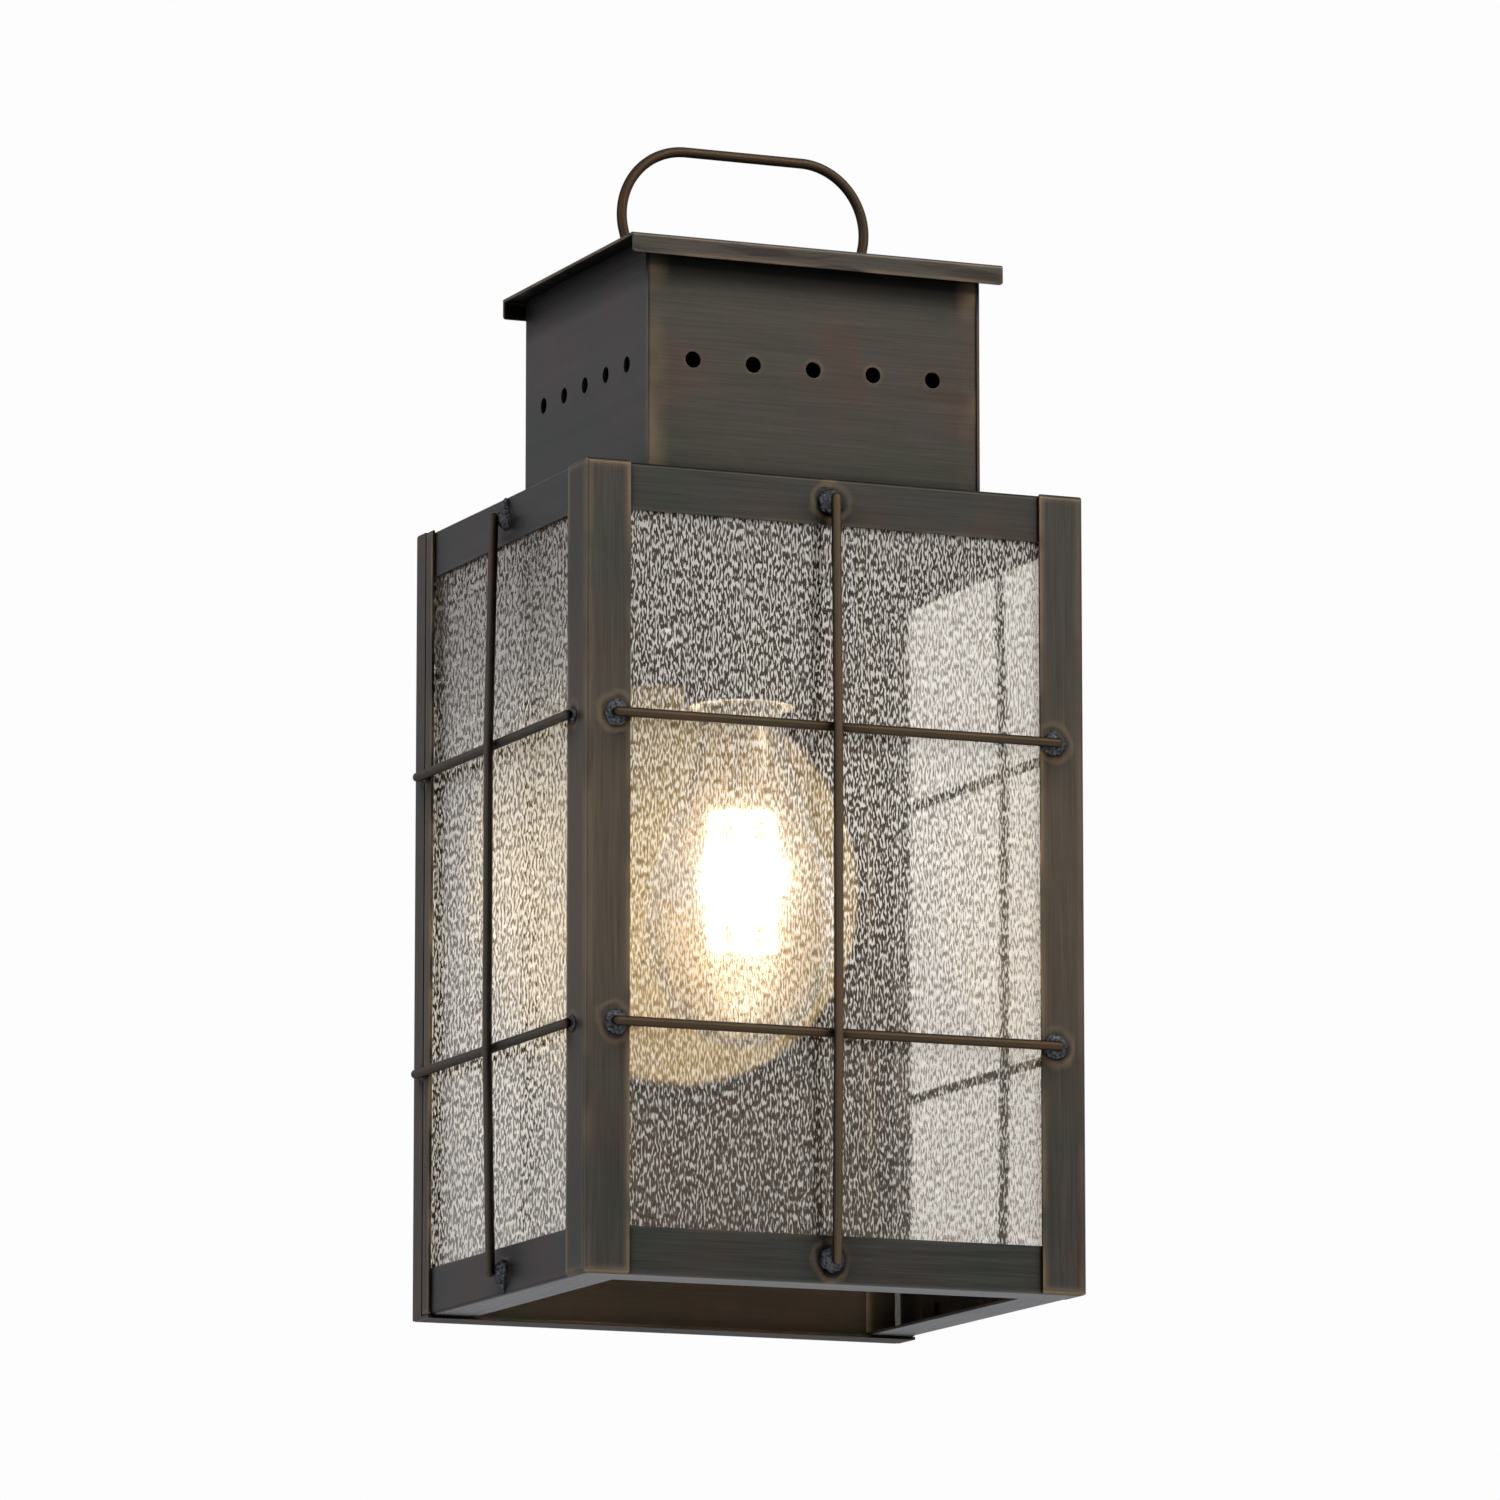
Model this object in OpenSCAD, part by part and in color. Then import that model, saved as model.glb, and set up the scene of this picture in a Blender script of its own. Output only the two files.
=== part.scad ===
// Outdoor wall lantern: a brass box with textured glass, soldered bars, a vented chimney and a carrying loop.
// X is across the front, the front faces -Y, Z is up. The wall is the plane y = 0.
// The origin is on the wall, at the centre of the mounting strap.

/* [Body] */
// Width of the body across its front corner posts
body_w = 179.6; // [165:0.2:215]
// Depth of the lantern, from the wall to the front of its posts
body_d = 154; // [146:0.2:190]
// Height of the glazed body
body_h = 269.2; // [262:0.2:320]
// Width of the legs of the posts and rails
angle_leg = 15.9; // [14:0.1:19]
// How far the top rails lie below the tops of the posts
rail_drop = 0.6; // [0.2:0.1:1.5]
// Thickness of the brass sheet
sheet = 1; // [0.8:0.1:1.2]
// Outside radius of a bent sheet edge
bend_r = 1.2; // [0.6:0.1:1.6]
// Radius of the cut corners on the free edges of the posts and the pan
corner_r = 1; // [0.5:0.5:3]
// Radius to which the ends of a front post are filed round at its bend
filed_r = 1.5; // [0.5:0.1:2.5]

/* [Wall pan] */
// Depth of the pan between the wall and the back of the body
pan_d = 8; // [7:0.5:10]
// Width of the side legs of the rear posts
rear_leg = 6.5; // [6:0.5:10]
// Height of the mounting centre above the bottom of the body
mount_h = 152.4; // [146:0.2:158]

/* [Glass] */
// Thickness of the glass panes
glass_t = 3; // [2:0.5:4]
// Clearance between a pane and the metal round it
glass_gap = 0.3; // [0.2:0.1:0.5]
// Width of a glass clip
clip_w = 10; // [6:1:16]
// Length of a clip's foot and of its upright
clip_leg = 8; // [6:0.5:10]
// Thickness of a clip
clip_t = 0.8; // [0.5:0.1:1.2]
// Distance of each clip from the middle of its pane
clip_reach = 42; // [30:1:50]

/* [Bars] */
// Diameter of the round bars in front of the glass
bar_d = 3.2; // [2.5:0.1:4]
// Height of the lower cross bars above the bottom of the body
bar_low = 82.5; // [60:0.5:110]
// Height of the upper cross bars above the bottom of the body
bar_high = 184.5; // [160:0.5:210]
// Gap between a cross bar and the face of the posts
bar_gap = 0.4; // [0.2:0.1:1]
// How far the front upright bar stands to the left of the middle
bar_shift = 2; // [0:0.1:3]
// How much nearer the body the ends of an upright bar are than its middle
bar_bow = 1.5; // [0.5:0.1:2]
// Distance from a post's outer edge to the solder bead of a cross bar
bead_inset = 11; // [8:0.1:11.4]
// How far the rear beads lie towards the wall from the seam of the pan
rear_bead_out = 0.7; // [0:0.1:2]
// Length of bar past the middle of its bead
bar_tail = 2.2; // [0.5:0.1:3]
// Diameter of the solder beads on the front, and of those that hold an upright bar
bead_d = 9; // [7:0.1:9.6]
// Diameter of the smaller beads that hold the cross bars of the sides
side_bead_d = 5.4; // [4.6:0.1:9]
// Height of a bead above the middle of its bar
bead_rise = 0.2; // [0.1:0.1:1]

/* [Chimney] */
// Width of the chimney
chimney_w = 121.7; // [110:0.1:136]
// Depth of the chimney
chimney_d = 107.3; // [96:0.1:110]
// Height of the chimney above the top of the body
chimney_h = 79.4; // [66:0.2:95]
// How far the front and rear panels sit in from the edges of the side panels
panel_inset = 0.3; // [0.1:0.1:0.8]
// Least gap between the chimney and the flanges of the top rails
chimney_gap = 2.1; // [1:0.1:4]
// Diameter of the air holes
vent_d = 5.5; // [3:0.5:7]
// Height of the air holes above the top of the body
vent_h = 39.8; // [30:0.2:50]
// Number of air holes in each panel
vent_count = 5; // [3:1:5]
// Spacing of the air holes across the front and the rear
vent_pitch_front = 21.8; // [18:0.2:24]
// Spacing of the air holes along the sides
vent_pitch_side = 18.6; // [14:0.1:20]

/* [Roof] */
// How far the roof reaches past the chimney at the sides
roof_over_side = 6.5; // [3:0.1:10]
// How far the roof reaches past the chimney at front and rear
roof_over_front = 5.1; // [3:0.1:10]
// Height of the turned-down edge at front and rear
roof_edge = 6.8; // [4:0.1:10]
// Radius of the lower corners of the turned-down edge
roof_corner_r = 1; // [0.5:0.5:3.5]

/* [Handle] */
// Diameter of the handle's rod
handle_d = 3.5; // [2.8:0.1:4]
// Widest distance between the middles of the handle's legs
handle_w = 89.4; // [80:0.2:100]
// Height of the handle's top above the roof, to the middle of the rod
handle_h = 43.2; // [38:0.1:55]
// Radius of the handle's corners
handle_r = 23.3; // [18:0.1:28]
// Angle by which the feet turn in
handle_lean = 13.8; // [4:0.1:16]
// How far the handle stands to the left of the middle
handle_shift = 2.8; // [0:0.1:4]
// Diameter of the solder beads round the handle's feet
foot_bead_d = 7.5; // [6:0.1:9]
// Height of the solder beads round the handle's feet
foot_bead_h = 1.6; // [1:0.1:2.5]

/* [Mounting] */
// Length of the mounting strap
strap_l = 104; // [98:1:115]
// Width of the mounting strap
strap_w = 20; // [18:0.5:26]
// Thickness of the mounting strap
strap_t = 2; // [1.5:0.1:2.5]
// Distance between the middles of the strap's two slots
slot_spacing = 79.4; // [76:0.2:82]
// Length of each slot, end to end
slot_l = 14.4; // [12:0.2:16]
// Width of each slot
slot_w = 4.8; // [4.4:0.1:5.2]
// Outside diameter of the threaded nipples
nipple_d = 10; // [9:0.1:11]
// Bore of the threaded nipples
nipple_bore = 7.2; // [6.8:0.1:7.8]
// Width of a hexagon nut across its corners
nut_d = 16; // [15:0.5:17.5]
// Thickness of a hexagon nut
nut_t = 3; // [2.5:0.1:3.6]
// Clearance round a nipple in its nuts and holes
thread_gap = 0.1; // [0.05:0.05:0.3]
// Distance from the strap's middle to the earth screw
earth_x = 22; // [20:0.5:24]
// Diameter of the earth screw's shank
earth_d = 4; // [3.4:0.1:4.4]
// Diameter of the earth screw's head
earth_head_d = 8; // [7:0.5:9]

/* [Reflector] */
// Diameter of the round reflector
reflector_d = 140; // [125:1:150]
// Height of the reflector above the face of the pan
reflector_h = 4.5; // [3:0.1:6]
// Radius of the reflector's rolled edge
reflector_r = 2; // [1.2:0.1:2.5]
// Diameter of the reflector's cap nut
cap_d = 14; // [13:0.5:18]
// Length of the cap nut, with its dome
cap_l = 11; // [9:0.5:14]

/* [Socket and lamp] */
// Distance from the wall to the axis of the lamp
lamp_y = 72; // [66:1:86]
// Distance from the deck down to the top of the socket's cup
hanger_l = 15.5; // [12:0.5:20]
// Length of the socket's cup
cup_l = 47; // [45:0.5:50]
// Outside diameter of the socket's cup
cup_d = 38; // [37:0.5:42]
// Space for the nut and terminals over the porcelain
terminal_space = 7; // [6.5:0.1:8]
// Thickness of the porcelain floor over the lamp's cap
floor_t = 11; // [9:0.5:12]
// Inside diameter of the socket's screw shell
shell_bore = 27.6; // [27.4:0.1:28.4]
// Thickness of the screw shell
shell_t = 0.5; // [0.4:0.1:0.8]
// Thickness of the centre contact
contact_t = 1.2; // [0.8:0.1:1.6]
// Play between the parts inside the socket
socket_gap = 0.2; // [0.15:0.05:0.3]
// Play between the lamp's tip and the centre contact
lamp_gap = 0.3; // [0.2:0.1:0.5]
// Overall length of the lamp
lamp_l = 142; // [130:1:146]
// Greatest diameter of the lamp's glass
lamp_d = 64; // [56:1:72]
// Height of the glass's widest place above its tip
lamp_belly = 42; // [36:1:50]
// Diameter of the lamp's glass where it enters the cap
neck_d = 26; // [24:0.5:26.5]
// Thickness of the lamp's glass
lamp_wall = 0.8; // [0.6:0.1:1.2]
// Length of the lamp's screw cap, with its tip
cap_len = 27; // [25:0.5:28]
// Diameter over the ridges of the lamp's screw cap
screw_d = 26.4; // [26:0.1:26.6]
// Depth of the ridges of the screw cap
screw_depth = 0.9; // [0.6:0.1:1.2]
// Distance between two ridges of the screw cap
screw_pitch = 3.6; // [3.2:0.1:4]
// Length of the glowing filaments
filament_l = 46; // [36:1:50]
// Radius of the ring of filaments
filament_ring = 11; // [8:0.5:13]
// Thickness of a filament
filament_d = 1.8; // [1.2:0.1:2.4]
// Number of filaments
filament_count = 6; // [4:1:8]
// Height of the middle of the filaments above the lamp's tip
filament_mid = 56; // [50:1:60]

/* [Wiring] */
// Diameter of one insulated lead
lead_d = 2.2; // [1.8:0.1:2.4]
// Gap between the two leads
lead_gap = 0.4; // [0.3:0.1:0.6]
// Distance of the deck's grommet behind the lamp's axis
grommet_back = 30; // [26:1:34]
// Distance of the pan's grommet below the top of the body
grommet_down = 29.8; // [25:0.2:34]
// Hole for the leads in a grommet
grommet_bore = 6; // [5.6:0.1:7]
// Diameter of a grommet's groove, which sits in the sheet
grommet_d = 9; // [8.5:0.1:10]
// Diameter of a grommet's flanges
grommet_flange_d = 13; // [12:0.1:14]
// Thickness of each flange of a grommet
grommet_flange_t = 1.2; // [0.8:0.1:1.5]
// Height above the mounting centre at which the leads end behind the pan
lead_end = 25; // [18:1:36]

/* [Hidden] */
$fn = 48;

// Metal colours
bronze = "#46403b";
bronze_dark = "#35322f";
solder_grey = "#3d4346";
brass = "#b5985a";
steel = "#9a9b98";

// Levels and faces of the body
bottom = -mount_h;
top = bottom + body_h;
side = body_w/2;
front = -body_d;
rail_side = side - sheet;
rail_front = front + sheet;
pan_face = -pan_d;
rear_face = pan_face - sheet;
mid_y = (front + pan_face)/2;
rail_top = top - rail_drop;
deck_top = rail_top - sheet;
deck_under = deck_top - sheet;
// Widths of the top rails' flanges in front of the chimney and behind it
flange_front = min(angle_leg, mid_y - chimney_d/2 - rail_front - chimney_gap);
flange_rear = min(angle_leg, pan_face - mid_y - chimney_d/2 - chimney_gap);
roof_under = top + chimney_h;
roof_top = roof_under + sheet;
reflector_face = pan_face - reflector_h;

// Bars: distances from the face of the posts to the middle of a bar
cross_out = bar_gap + bar_d/2;
crossing_gap = 0.1;
upright_out = cross_out + bar_d + crossing_gap;
upright_end_out = upright_out - bar_bow;
bar_fit = 0.05;
tube_sides = 16;
lead_sides = 8;

// Handle
leg_x = handle_w/2;
handle_top = roof_top + handle_h;
arc_x = leg_x - handle_r;
arc_z = handle_top - handle_r;
lean_x = arc_x + handle_r*cos(handle_lean);
lean_z = arc_z - handle_r*sin(handle_lean);
foot_x = lean_x - (lean_z - roof_top)*tan(handle_lean);
overlap = 0.4;
hair = 0.01;

// Socket and lamp, measured up and down the lamp's axis
cup_top = deck_under - hanger_l;
cup_mouth = cup_top - cup_l;
porcelain_top = cup_top - sheet - terminal_space;
contact_top = porcelain_top - floor_t;
lamp_top = contact_top - contact_t - lamp_gap;
lamp_bottom = lamp_top - lamp_l;
glass_top = lamp_top - cap_len;
cup_r = cup_d/2;
porcelain_r = cup_r - sheet - socket_gap;
shell_r = shell_bore/2 + shell_t;
nut_gap = 0.05;
tip_h = 2;
insulator_h = 3.4;
insulator_r = 9.5;
tip_r = 4.6;
cap_wall = 0.4;
stem_l = 26;
stem_r = 6;

// Leads: the middle of a lead from the plane x = 0, and the places where the run bends
lead_x = (lead_d + lead_gap)/2;
grommet_y = -lamp_y + grommet_back;
grommet_z = top - grommet_down;
bend_big = 12;
bend_small = 2.4;
lead_start = porcelain_top + 1;
lead_over = deck_top + nut_t + 12;
cavity_y = pan_face + sheet + bend_small + 1.2;

// A box between two opposite corners
module block(low, high) {
  translate(low)
    cube(high - low);
}

// Flat plate standing on the x axis, with round corners at its far end
module tongue(length, height, r) {
  square([length - r, height]);
  translate([length - r, r])
    square([r, height - 2*r]);
  translate([length - r, r])
    circle(r);
  translate([length - r, height - r])
    circle(r);
}

// Section of a bent angle: its outer faces are the x and y axes, and the bend is rounded
module angle_section(leg_x, leg_y, r) {
  difference() {
    union() {
      square([leg_x, sheet]);
      square([sheet, leg_y]);
    }
    difference() {
      square([r, r]);
      translate([r, r])
        circle(r);
    }
  }
}

// One leg of a post seen square on: its free corners have the radius far_r, and those at the bend near_r
module leg_outline(length, height, far_r, near_r) {
  translate([near_r, 0])
    tongue(length - near_r, height, far_r);
  translate([0, near_r])
    square([2*near_r, height - 2*near_r]);
  for (z = [near_r, height - near_r])
    translate([near_r, z])
      circle(near_r);
}

// Upright angle of the given height, with the corners at the ends of both legs rounded
module angle_post(leg_x, leg_y, height, far_r, near_r) {
  intersection() {
    linear_extrude(height)
      angle_section(leg_x, leg_y, bend_r);
    translate([0, leg_y + 1, 0])
      rotate([90, 0, 0])
        linear_extrude(leg_y + 2)
          leg_outline(leg_x, height, far_r, near_r);
    translate([leg_x + 1, 0, 0])
      rotate([90, 0, -90])
        linear_extrude(leg_x + 2)
          mirror([1, 0])
            leg_outline(leg_y, height, far_r, near_r);
  }
}

module front_post() {
  color(bronze)
    translate([-side, front, bottom])
      angle_post(angle_leg, angle_leg, body_h, corner_r, filed_r);
}

module rear_post() {
  color(bronze)
    translate([-side, pan_face, bottom])
      mirror([0, 1, 0])
        angle_post(angle_leg, rear_leg, body_h, corner_r, corner_r);
}

// Rail along x: a standing leg and a flange turned in at the given level
module front_rail(flange_up) {
  level = flange_up ? rail_top : bottom;
  flange = flange_up ? flange_front : angle_leg;
  turn = flange_up ? 1 : 0;
  color(bronze)
    translate([-rail_side + sheet, rail_front, level])
      mirror([0, 0, turn])
        rotate([90, 0, 90])
          linear_extrude(2*(rail_side - sheet))
            angle_section(flange, angle_leg, bend_r);
}

// Rail along y on the left: its flange starts behind the flange of the front rail
module side_rail(flange_up) {
  level = flange_up ? rail_top : bottom;
  flange = flange_up ? flange_front : angle_leg;
  turn = flange_up ? 1 : 0;
  color(bronze)
    translate([-rail_side, 0, level])
      mirror([0, 0, turn])
        difference() {
          translate([0, rear_face, 0])
            rotate([90, 0, 0])
              linear_extrude(rear_face - rail_front)
                angle_section(angle_leg, angle_leg, bend_r);
          block([sheet, rail_front - 1, -1], [angle_leg + 1, rail_front + flange, sheet + 1]);
        }
}

module rear_top_rail() {
  reach = side - angle_leg;
  flange_x = rail_side - angle_leg;
  color(bronze) {
    block([-reach, rear_face, rail_top - angle_leg], [reach, pan_face, rail_top - sheet]);
    block([-flange_x, pan_face - flange_rear, rail_top - sheet], [flange_x, pan_face, rail_top]);
  }
}

module rear_bottom_rail() {
  reach = side - angle_leg;
  color(bronze) {
    block([-reach, rear_face, bottom], [reach, pan_face, bottom + angle_leg]);
    block([-side, pan_face - rear_leg, bottom - sheet], [side, pan_face, bottom]);
  }
}

// Plate that closes the body under the chimney, with air holes and holes for the nipple and the leads
module top_deck() {
  reach = rail_side - sheet;
  air_d = 12;
  air_ring = 34;
  color(bronze_dark)
    difference() {
      block([-reach, rail_front + sheet, deck_under], [reach, rear_face, deck_top]);
      translate([0, -lamp_y, deck_under - 1])
        cylinder(h = sheet + 2, d = nipple_d + 2*thread_gap);
      translate([0, grommet_y, deck_under - 1])
        cylinder(h = sheet + 2, d = grommet_d);
      for (turn = [0 : 45 : 315])
        if (turn != 90)
          translate([air_ring*cos(turn), mid_y + air_ring*sin(turn), deck_under - 1])
            cylinder(h = sheet + 2, d = air_d);
    }
}

module front_pane() {
  reach = rail_side - sheet - glass_gap;
  face = rail_front + sheet + glass_gap;
  color("#cfd3cd", 0.4)
    block([-reach, face, bottom + sheet], [reach, face + glass_t, deck_under - glass_gap]);
}

module side_pane() {
  outer = rail_side - sheet - glass_gap;
  start = rail_front + sheet + 2*glass_gap + glass_t;
  color("#cfd3cd", 0.4)
    block([-outer, start, bottom + sheet], [glass_t - outer, rear_face - glass_gap, deck_under - glass_gap]);
}

// Clip at the origin: its foot lies on the plane z = 0 and its upright faces -y
module clip() {
  translate([-clip_w/2, 0, 0])
    cube([clip_w, clip_leg, clip_t]);
  translate([-clip_w/2, 0, 0])
    cube([clip_w, clip_t, clip_leg]);
}

// The four clips of one pane, whose inner face is the plane y = 0
module pane_clips() {
  for (x = [-clip_reach, clip_reach]) {
    translate([x, 0, bottom + sheet])
      clip();
    translate([x, 0, deck_under])
      mirror([0, 0, 1])
        clip();
  }
}

module glass_clips() {
  inner = 2*glass_gap + glass_t;
  color(bronze_dark) {
    translate([0, rail_front + sheet + inner, 0])
      pane_clips();
    for (turn = [-90, 90])
      translate([sign(turn)*(rail_side - sheet - inner), mid_y, 0])
        rotate([0, 0, turn])
          pane_clips();
  }
}

// Straight bar along x from -half to half, with round ends
module cross_bar(half, r) {
  rotate([0, 90, 0])
    rotate_extrude()
      intersection() {
        union() {
          translate([0, -half + r])
            square([r, 2*(half - r)]);
          translate([0, half - r])
            circle(r);
          translate([0, -half + r])
            circle(r);
        }
        translate([0, -half])
          square([r, 2*half]);
      }
}

// Tube in the plane x = 0 along points [y, z], with a radius at each point
function tube_dir(path, i) =
  let (a = path[max(i - 1, 0)], b = path[min(i + 1, len(path) - 1)], d = b - a)
    d/norm(d);
function tube_points(path, radii, sides) = [
  for (i = [0 : len(path) - 1])
    let (d = tube_dir(path, i), n = [-d[1], d[0]])
      for (k = [0 : sides - 1])
        let (turn = 360*k/sides, in = radii[i]*cos(turn), out = radii[i]*sin(turn))
          [out, path[i][0] + in*n[0], path[i][1] + in*n[1]]
];
function tube_faces(rings, sides) = concat(
  [for (k = [1 : sides - 2]) [0, k, k + 1]],
  [for (i = [0 : rings - 2]) for (k = [0 : sides - 1])
    let (a = i*sides + k, b = i*sides + (k + 1)%sides) [a, a + sides, b]],
  [for (i = [0 : rings - 2]) for (k = [0 : sides - 1])
    let (a = i*sides + k, b = i*sides + (k + 1)%sides) [b, a + sides, b + sides]],
  [for (k = [1 : sides - 2]) let (s = (rings - 1)*sides) [s, s + k + 1, s + k]]
);
module tube(path, radii, sides) {
  polyhedron(tube_points(path, radii, sides), tube_faces(len(path), sides));
}

// Upright bar in the plane x = 0, measured out from the face of the posts at y = 0
module upright_bar(r) {
  tail = bar_tail - r;
  low = bottom + angle_leg/2 - tail;
  high = rail_top - angle_leg/2 + tail;
  path = [
    for (t = [75, 50, 25]) [-upright_end_out, low - r*sin(t)],
    [-upright_end_out, low],
    [-upright_out, bottom + bar_low],
    [-upright_out, bottom + bar_high],
    [-upright_end_out, high],
    for (t = [25, 50, 75]) [-upright_end_out, high + r*sin(t)]
  ];
  radii = [
    for (t = [75, 50, 25]) r*cos(t),
    r, r, r, r,
    for (t = [25, 50, 75]) r*cos(t)
  ];
  tube(path, radii, tube_sides);
}

// Cap of a ball that stands on y = 0 and bulges towards -y
module bead(d, h) {
  ball_r = (d*d/4 + h*h)/(2*h);
  rotate([90, 0, 0])
    rotate_extrude()
      intersection() {
        translate([0, h - ball_r])
          circle(ball_r);
        square([d, h]);
      }
}

// Bars and beads of one face, drawn as the front's. The middle of the face is x = 0 and the posts' face is y = 0.
// Cross bars reach from x_low to x_high, where their beads are, of the diameter cross_bead_d.
module cross_bars(x_low, x_high, z, r) {
  translate([(x_low + x_high)/2, -cross_out, z])
    cross_bar((x_high - x_low)/2 + bar_tail, r);
}

module face_beads(x_low, x_high, upright_x, cross_bead_d) {
  difference() {
    union() {
      for (z = [bottom + bar_low, bottom + bar_high]) {
        translate([x_low, 0, z])
          bead(cross_bead_d, cross_out + bead_rise);
        translate([x_high, 0, z])
          bead(cross_bead_d, cross_out + bead_rise);
      }
      for (z = [bottom + angle_leg/2, rail_top - angle_leg/2])
        translate([upright_x, sheet, z])
          bead(bead_d, upright_end_out + sheet + bead_rise);
    }
    for (z = [bottom + bar_low, bottom + bar_high])
      cross_bars(x_low, x_high, z, bar_d/2 + bar_fit);
    translate([upright_x, 0, 0])
      upright_bar(bar_d/2 + bar_fit);
  }
}

// Frames of the three faces: children are drawn as on the front
module on_front() {
  translate([0, front, 0])
    children();
}
module on_side(right) {
  mirror([right ? 1 : 0, 0, 0])
    translate([-side, mid_y, 0])
      rotate([0, 0, -90])
        children();
}

bead_x = side - bead_inset;
bead_near = mid_y - front - bead_inset;
bead_far = pan_face - mid_y + rear_bead_out;

module front_cross_bar(height) {
  color(bronze)
    on_front()
      cross_bars(-bead_x, bead_x, bottom + height, bar_d/2);
}
// On a side, x runs from the rear, at negative x, to the front
module side_cross_bar(height, right) {
  color(bronze)
    on_side(right)
      cross_bars(-bead_far, bead_near, bottom + height, bar_d/2);
}

module side_panel() {
  color(bronze)
    difference() {
      block(
        [-chimney_w/2, mid_y - chimney_d/2, deck_top],
        [-chimney_w/2 + sheet, mid_y + chimney_d/2, roof_under]
      );
      for (i = [0 : vent_count - 1])
        translate([-chimney_w/2 - 1, mid_y + (i - (vent_count - 1)/2)*vent_pitch_side, top + vent_h])
          rotate([0, 90, 0])
            cylinder(h = sheet + 2, d = vent_d);
    }
}

module front_panel() {
  face = mid_y - chimney_d/2 + panel_inset;
  color(bronze)
    difference() {
      block(
        [-chimney_w/2 + sheet, face, deck_top],
        [chimney_w/2 - sheet, face + sheet, roof_under]
      );
      for (i = [0 : vent_count - 1])
        translate([(i - (vent_count - 1)/2)*vent_pitch_front, face + sheet + 1, top + vent_h])
          rotate([90, 0, 0])
            cylinder(h = sheet + 2, d = vent_d);
    }
}

// Children as drawn, and their copy mirrored front to rear about the middle of the body
module rear_copy() {
  translate([0, 2*mid_y, 0])
    mirror([0, 1, 0])
      children();
}

module roof() {
  half_w = chimney_w/2 + roof_over_side;
  half_d = chimney_d/2 + roof_over_front;
  color(bronze)
    translate([0, mid_y, roof_top])
      difference() {
        rotate([90, 0, 90])
          translate([0, 0, -half_w])
            linear_extrude(2*half_w)
              union() {
                translate([-half_d, 0])
                  mirror([0, 1])
                    angle_section(2*half_d, roof_edge, bend_r);
                translate([half_d, 0])
                  rotate(180)
                    angle_section(half_d, roof_edge, bend_r);
              }
        for (sx = [-1, 1])
          translate([sx*half_w, 0, -roof_edge])
            mirror([sx > 0 ? 1 : 0, 0, 0])
              rotate([90, 0, 0])
                linear_extrude(2*half_d + 2, center = true)
                  difference() {
                    square(roof_corner_r);
                    translate([roof_corner_r, roof_corner_r])
                      circle(roof_corner_r);
                  }
      }
}

// Corner and leg of the handle. The leg is thinner by a hair and starts inside the corner.
module half_handle() {
  translate([arc_x, mid_y, arc_z])
    rotate([90, 0, 0])
      rotate([0, 0, -handle_lean])
        rotate_extrude(angle = 90 + handle_lean)
          translate([handle_r, 0])
            circle(d = handle_d);
  intersection() {
    translate([lean_x, mid_y, lean_z])
      rotate([0, 180 + handle_lean, 0])
        translate([0, 0, -overlap])
          cylinder(h = (lean_z - roof_top)/cos(handle_lean) + handle_d, d = handle_d - 2*hair);
    block([0, mid_y - handle_d, roof_top], [handle_w, mid_y + handle_d, handle_top]);
  }
}

module handle() {
  color(bronze) translate([-handle_shift, 0, 0]) {
    half_handle();
    mirror([1, 0, 0])
      half_handle();
    translate([-arc_x - overlap, mid_y, handle_top])
      rotate([0, 90, 0])
        cylinder(h = 2*(arc_x + overlap), d = handle_d - 2*hair);
  }
}

module handle_solder() {
  color(solder_grey)
    translate([-handle_shift, 0, 0]) for (turn = [0, 1])
      mirror([turn, 0, 0])
        difference() {
          translate([foot_x, mid_y, roof_top])
            rotate([-90, 0, 0])
              bead(foot_bead_d, foot_bead_h);
          translate([lean_x, mid_y, lean_z])
            rotate([0, 180 + handle_lean, 0])
              cylinder(h = 2*(lean_z - roof_top), d = handle_d + 2*bar_fit);
        }
}

module back_pan() {
  low = bottom - sheet;
  color(bronze)
    difference() {
      union() {
        block([-side + sheet, pan_face, low], [side - sheet, 0, top]);
        for (turn = [0, 1])
          mirror([turn, 0, 0])
            translate([-side, 0, 0])
              intersection() {
                block([0, pan_face, low], [sheet, 0, top]);
                translate([-1, pan_face, low])
                  rotate([90, 0, 90])
                    linear_extrude(sheet + 2)
                      tongue(pan_d, top - low, corner_r);
              }
      }
      block([-side + sheet, pan_face + sheet, low + sheet], [side - sheet, 1, top - sheet]);
      translate([0, 1, 0])
        rotate([90, 0, 0])
          cylinder(h = pan_d + 2, d = nipple_d + 2*thread_gap);
      translate([0, 1, grommet_z])
        rotate([90, 0, 0])
          cylinder(h = pan_d + 2, d = grommet_d);
    }
}

module mounting_strap() {
  end_r = strap_w/2;
  flat = (slot_l - slot_w)/2;
  color(steel)
    rotate([90, 0, 0])
      linear_extrude(strap_t)
        difference() {
          union() {
            square([strap_l - 2*end_r, strap_w], center = true);
            for (sx = [-1, 1])
              translate([sx*(strap_l/2 - end_r), 0])
                circle(end_r);
          }
          circle(d = nipple_d + 2*thread_gap);
          translate([earth_x, 0])
            circle(d = earth_d + 2*thread_gap);
          for (sx = [-1, 1])
            translate([sx*slot_spacing/2, 0]) {
              square([2*flat, slot_w], center = true);
              for (end = [-flat, flat])
                translate([end, 0])
                  circle(d = slot_w);
            }
        }
}

// Hexagon nut round the z axis
module hex_nut() {
  difference() {
    cylinder(h = nut_t, d = nut_d, $fn = 6);
    translate([0, 0, -1])
      cylinder(h = nut_t + 2, d = nipple_d + 2*thread_gap);
  }
}

module nipple(length) {
  difference() {
    cylinder(h = length, d = nipple_d);
    translate([0, 0, -1])
      cylinder(h = length + 2, d = nipple_bore);
  }
}

cap_bore = 6;

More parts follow.
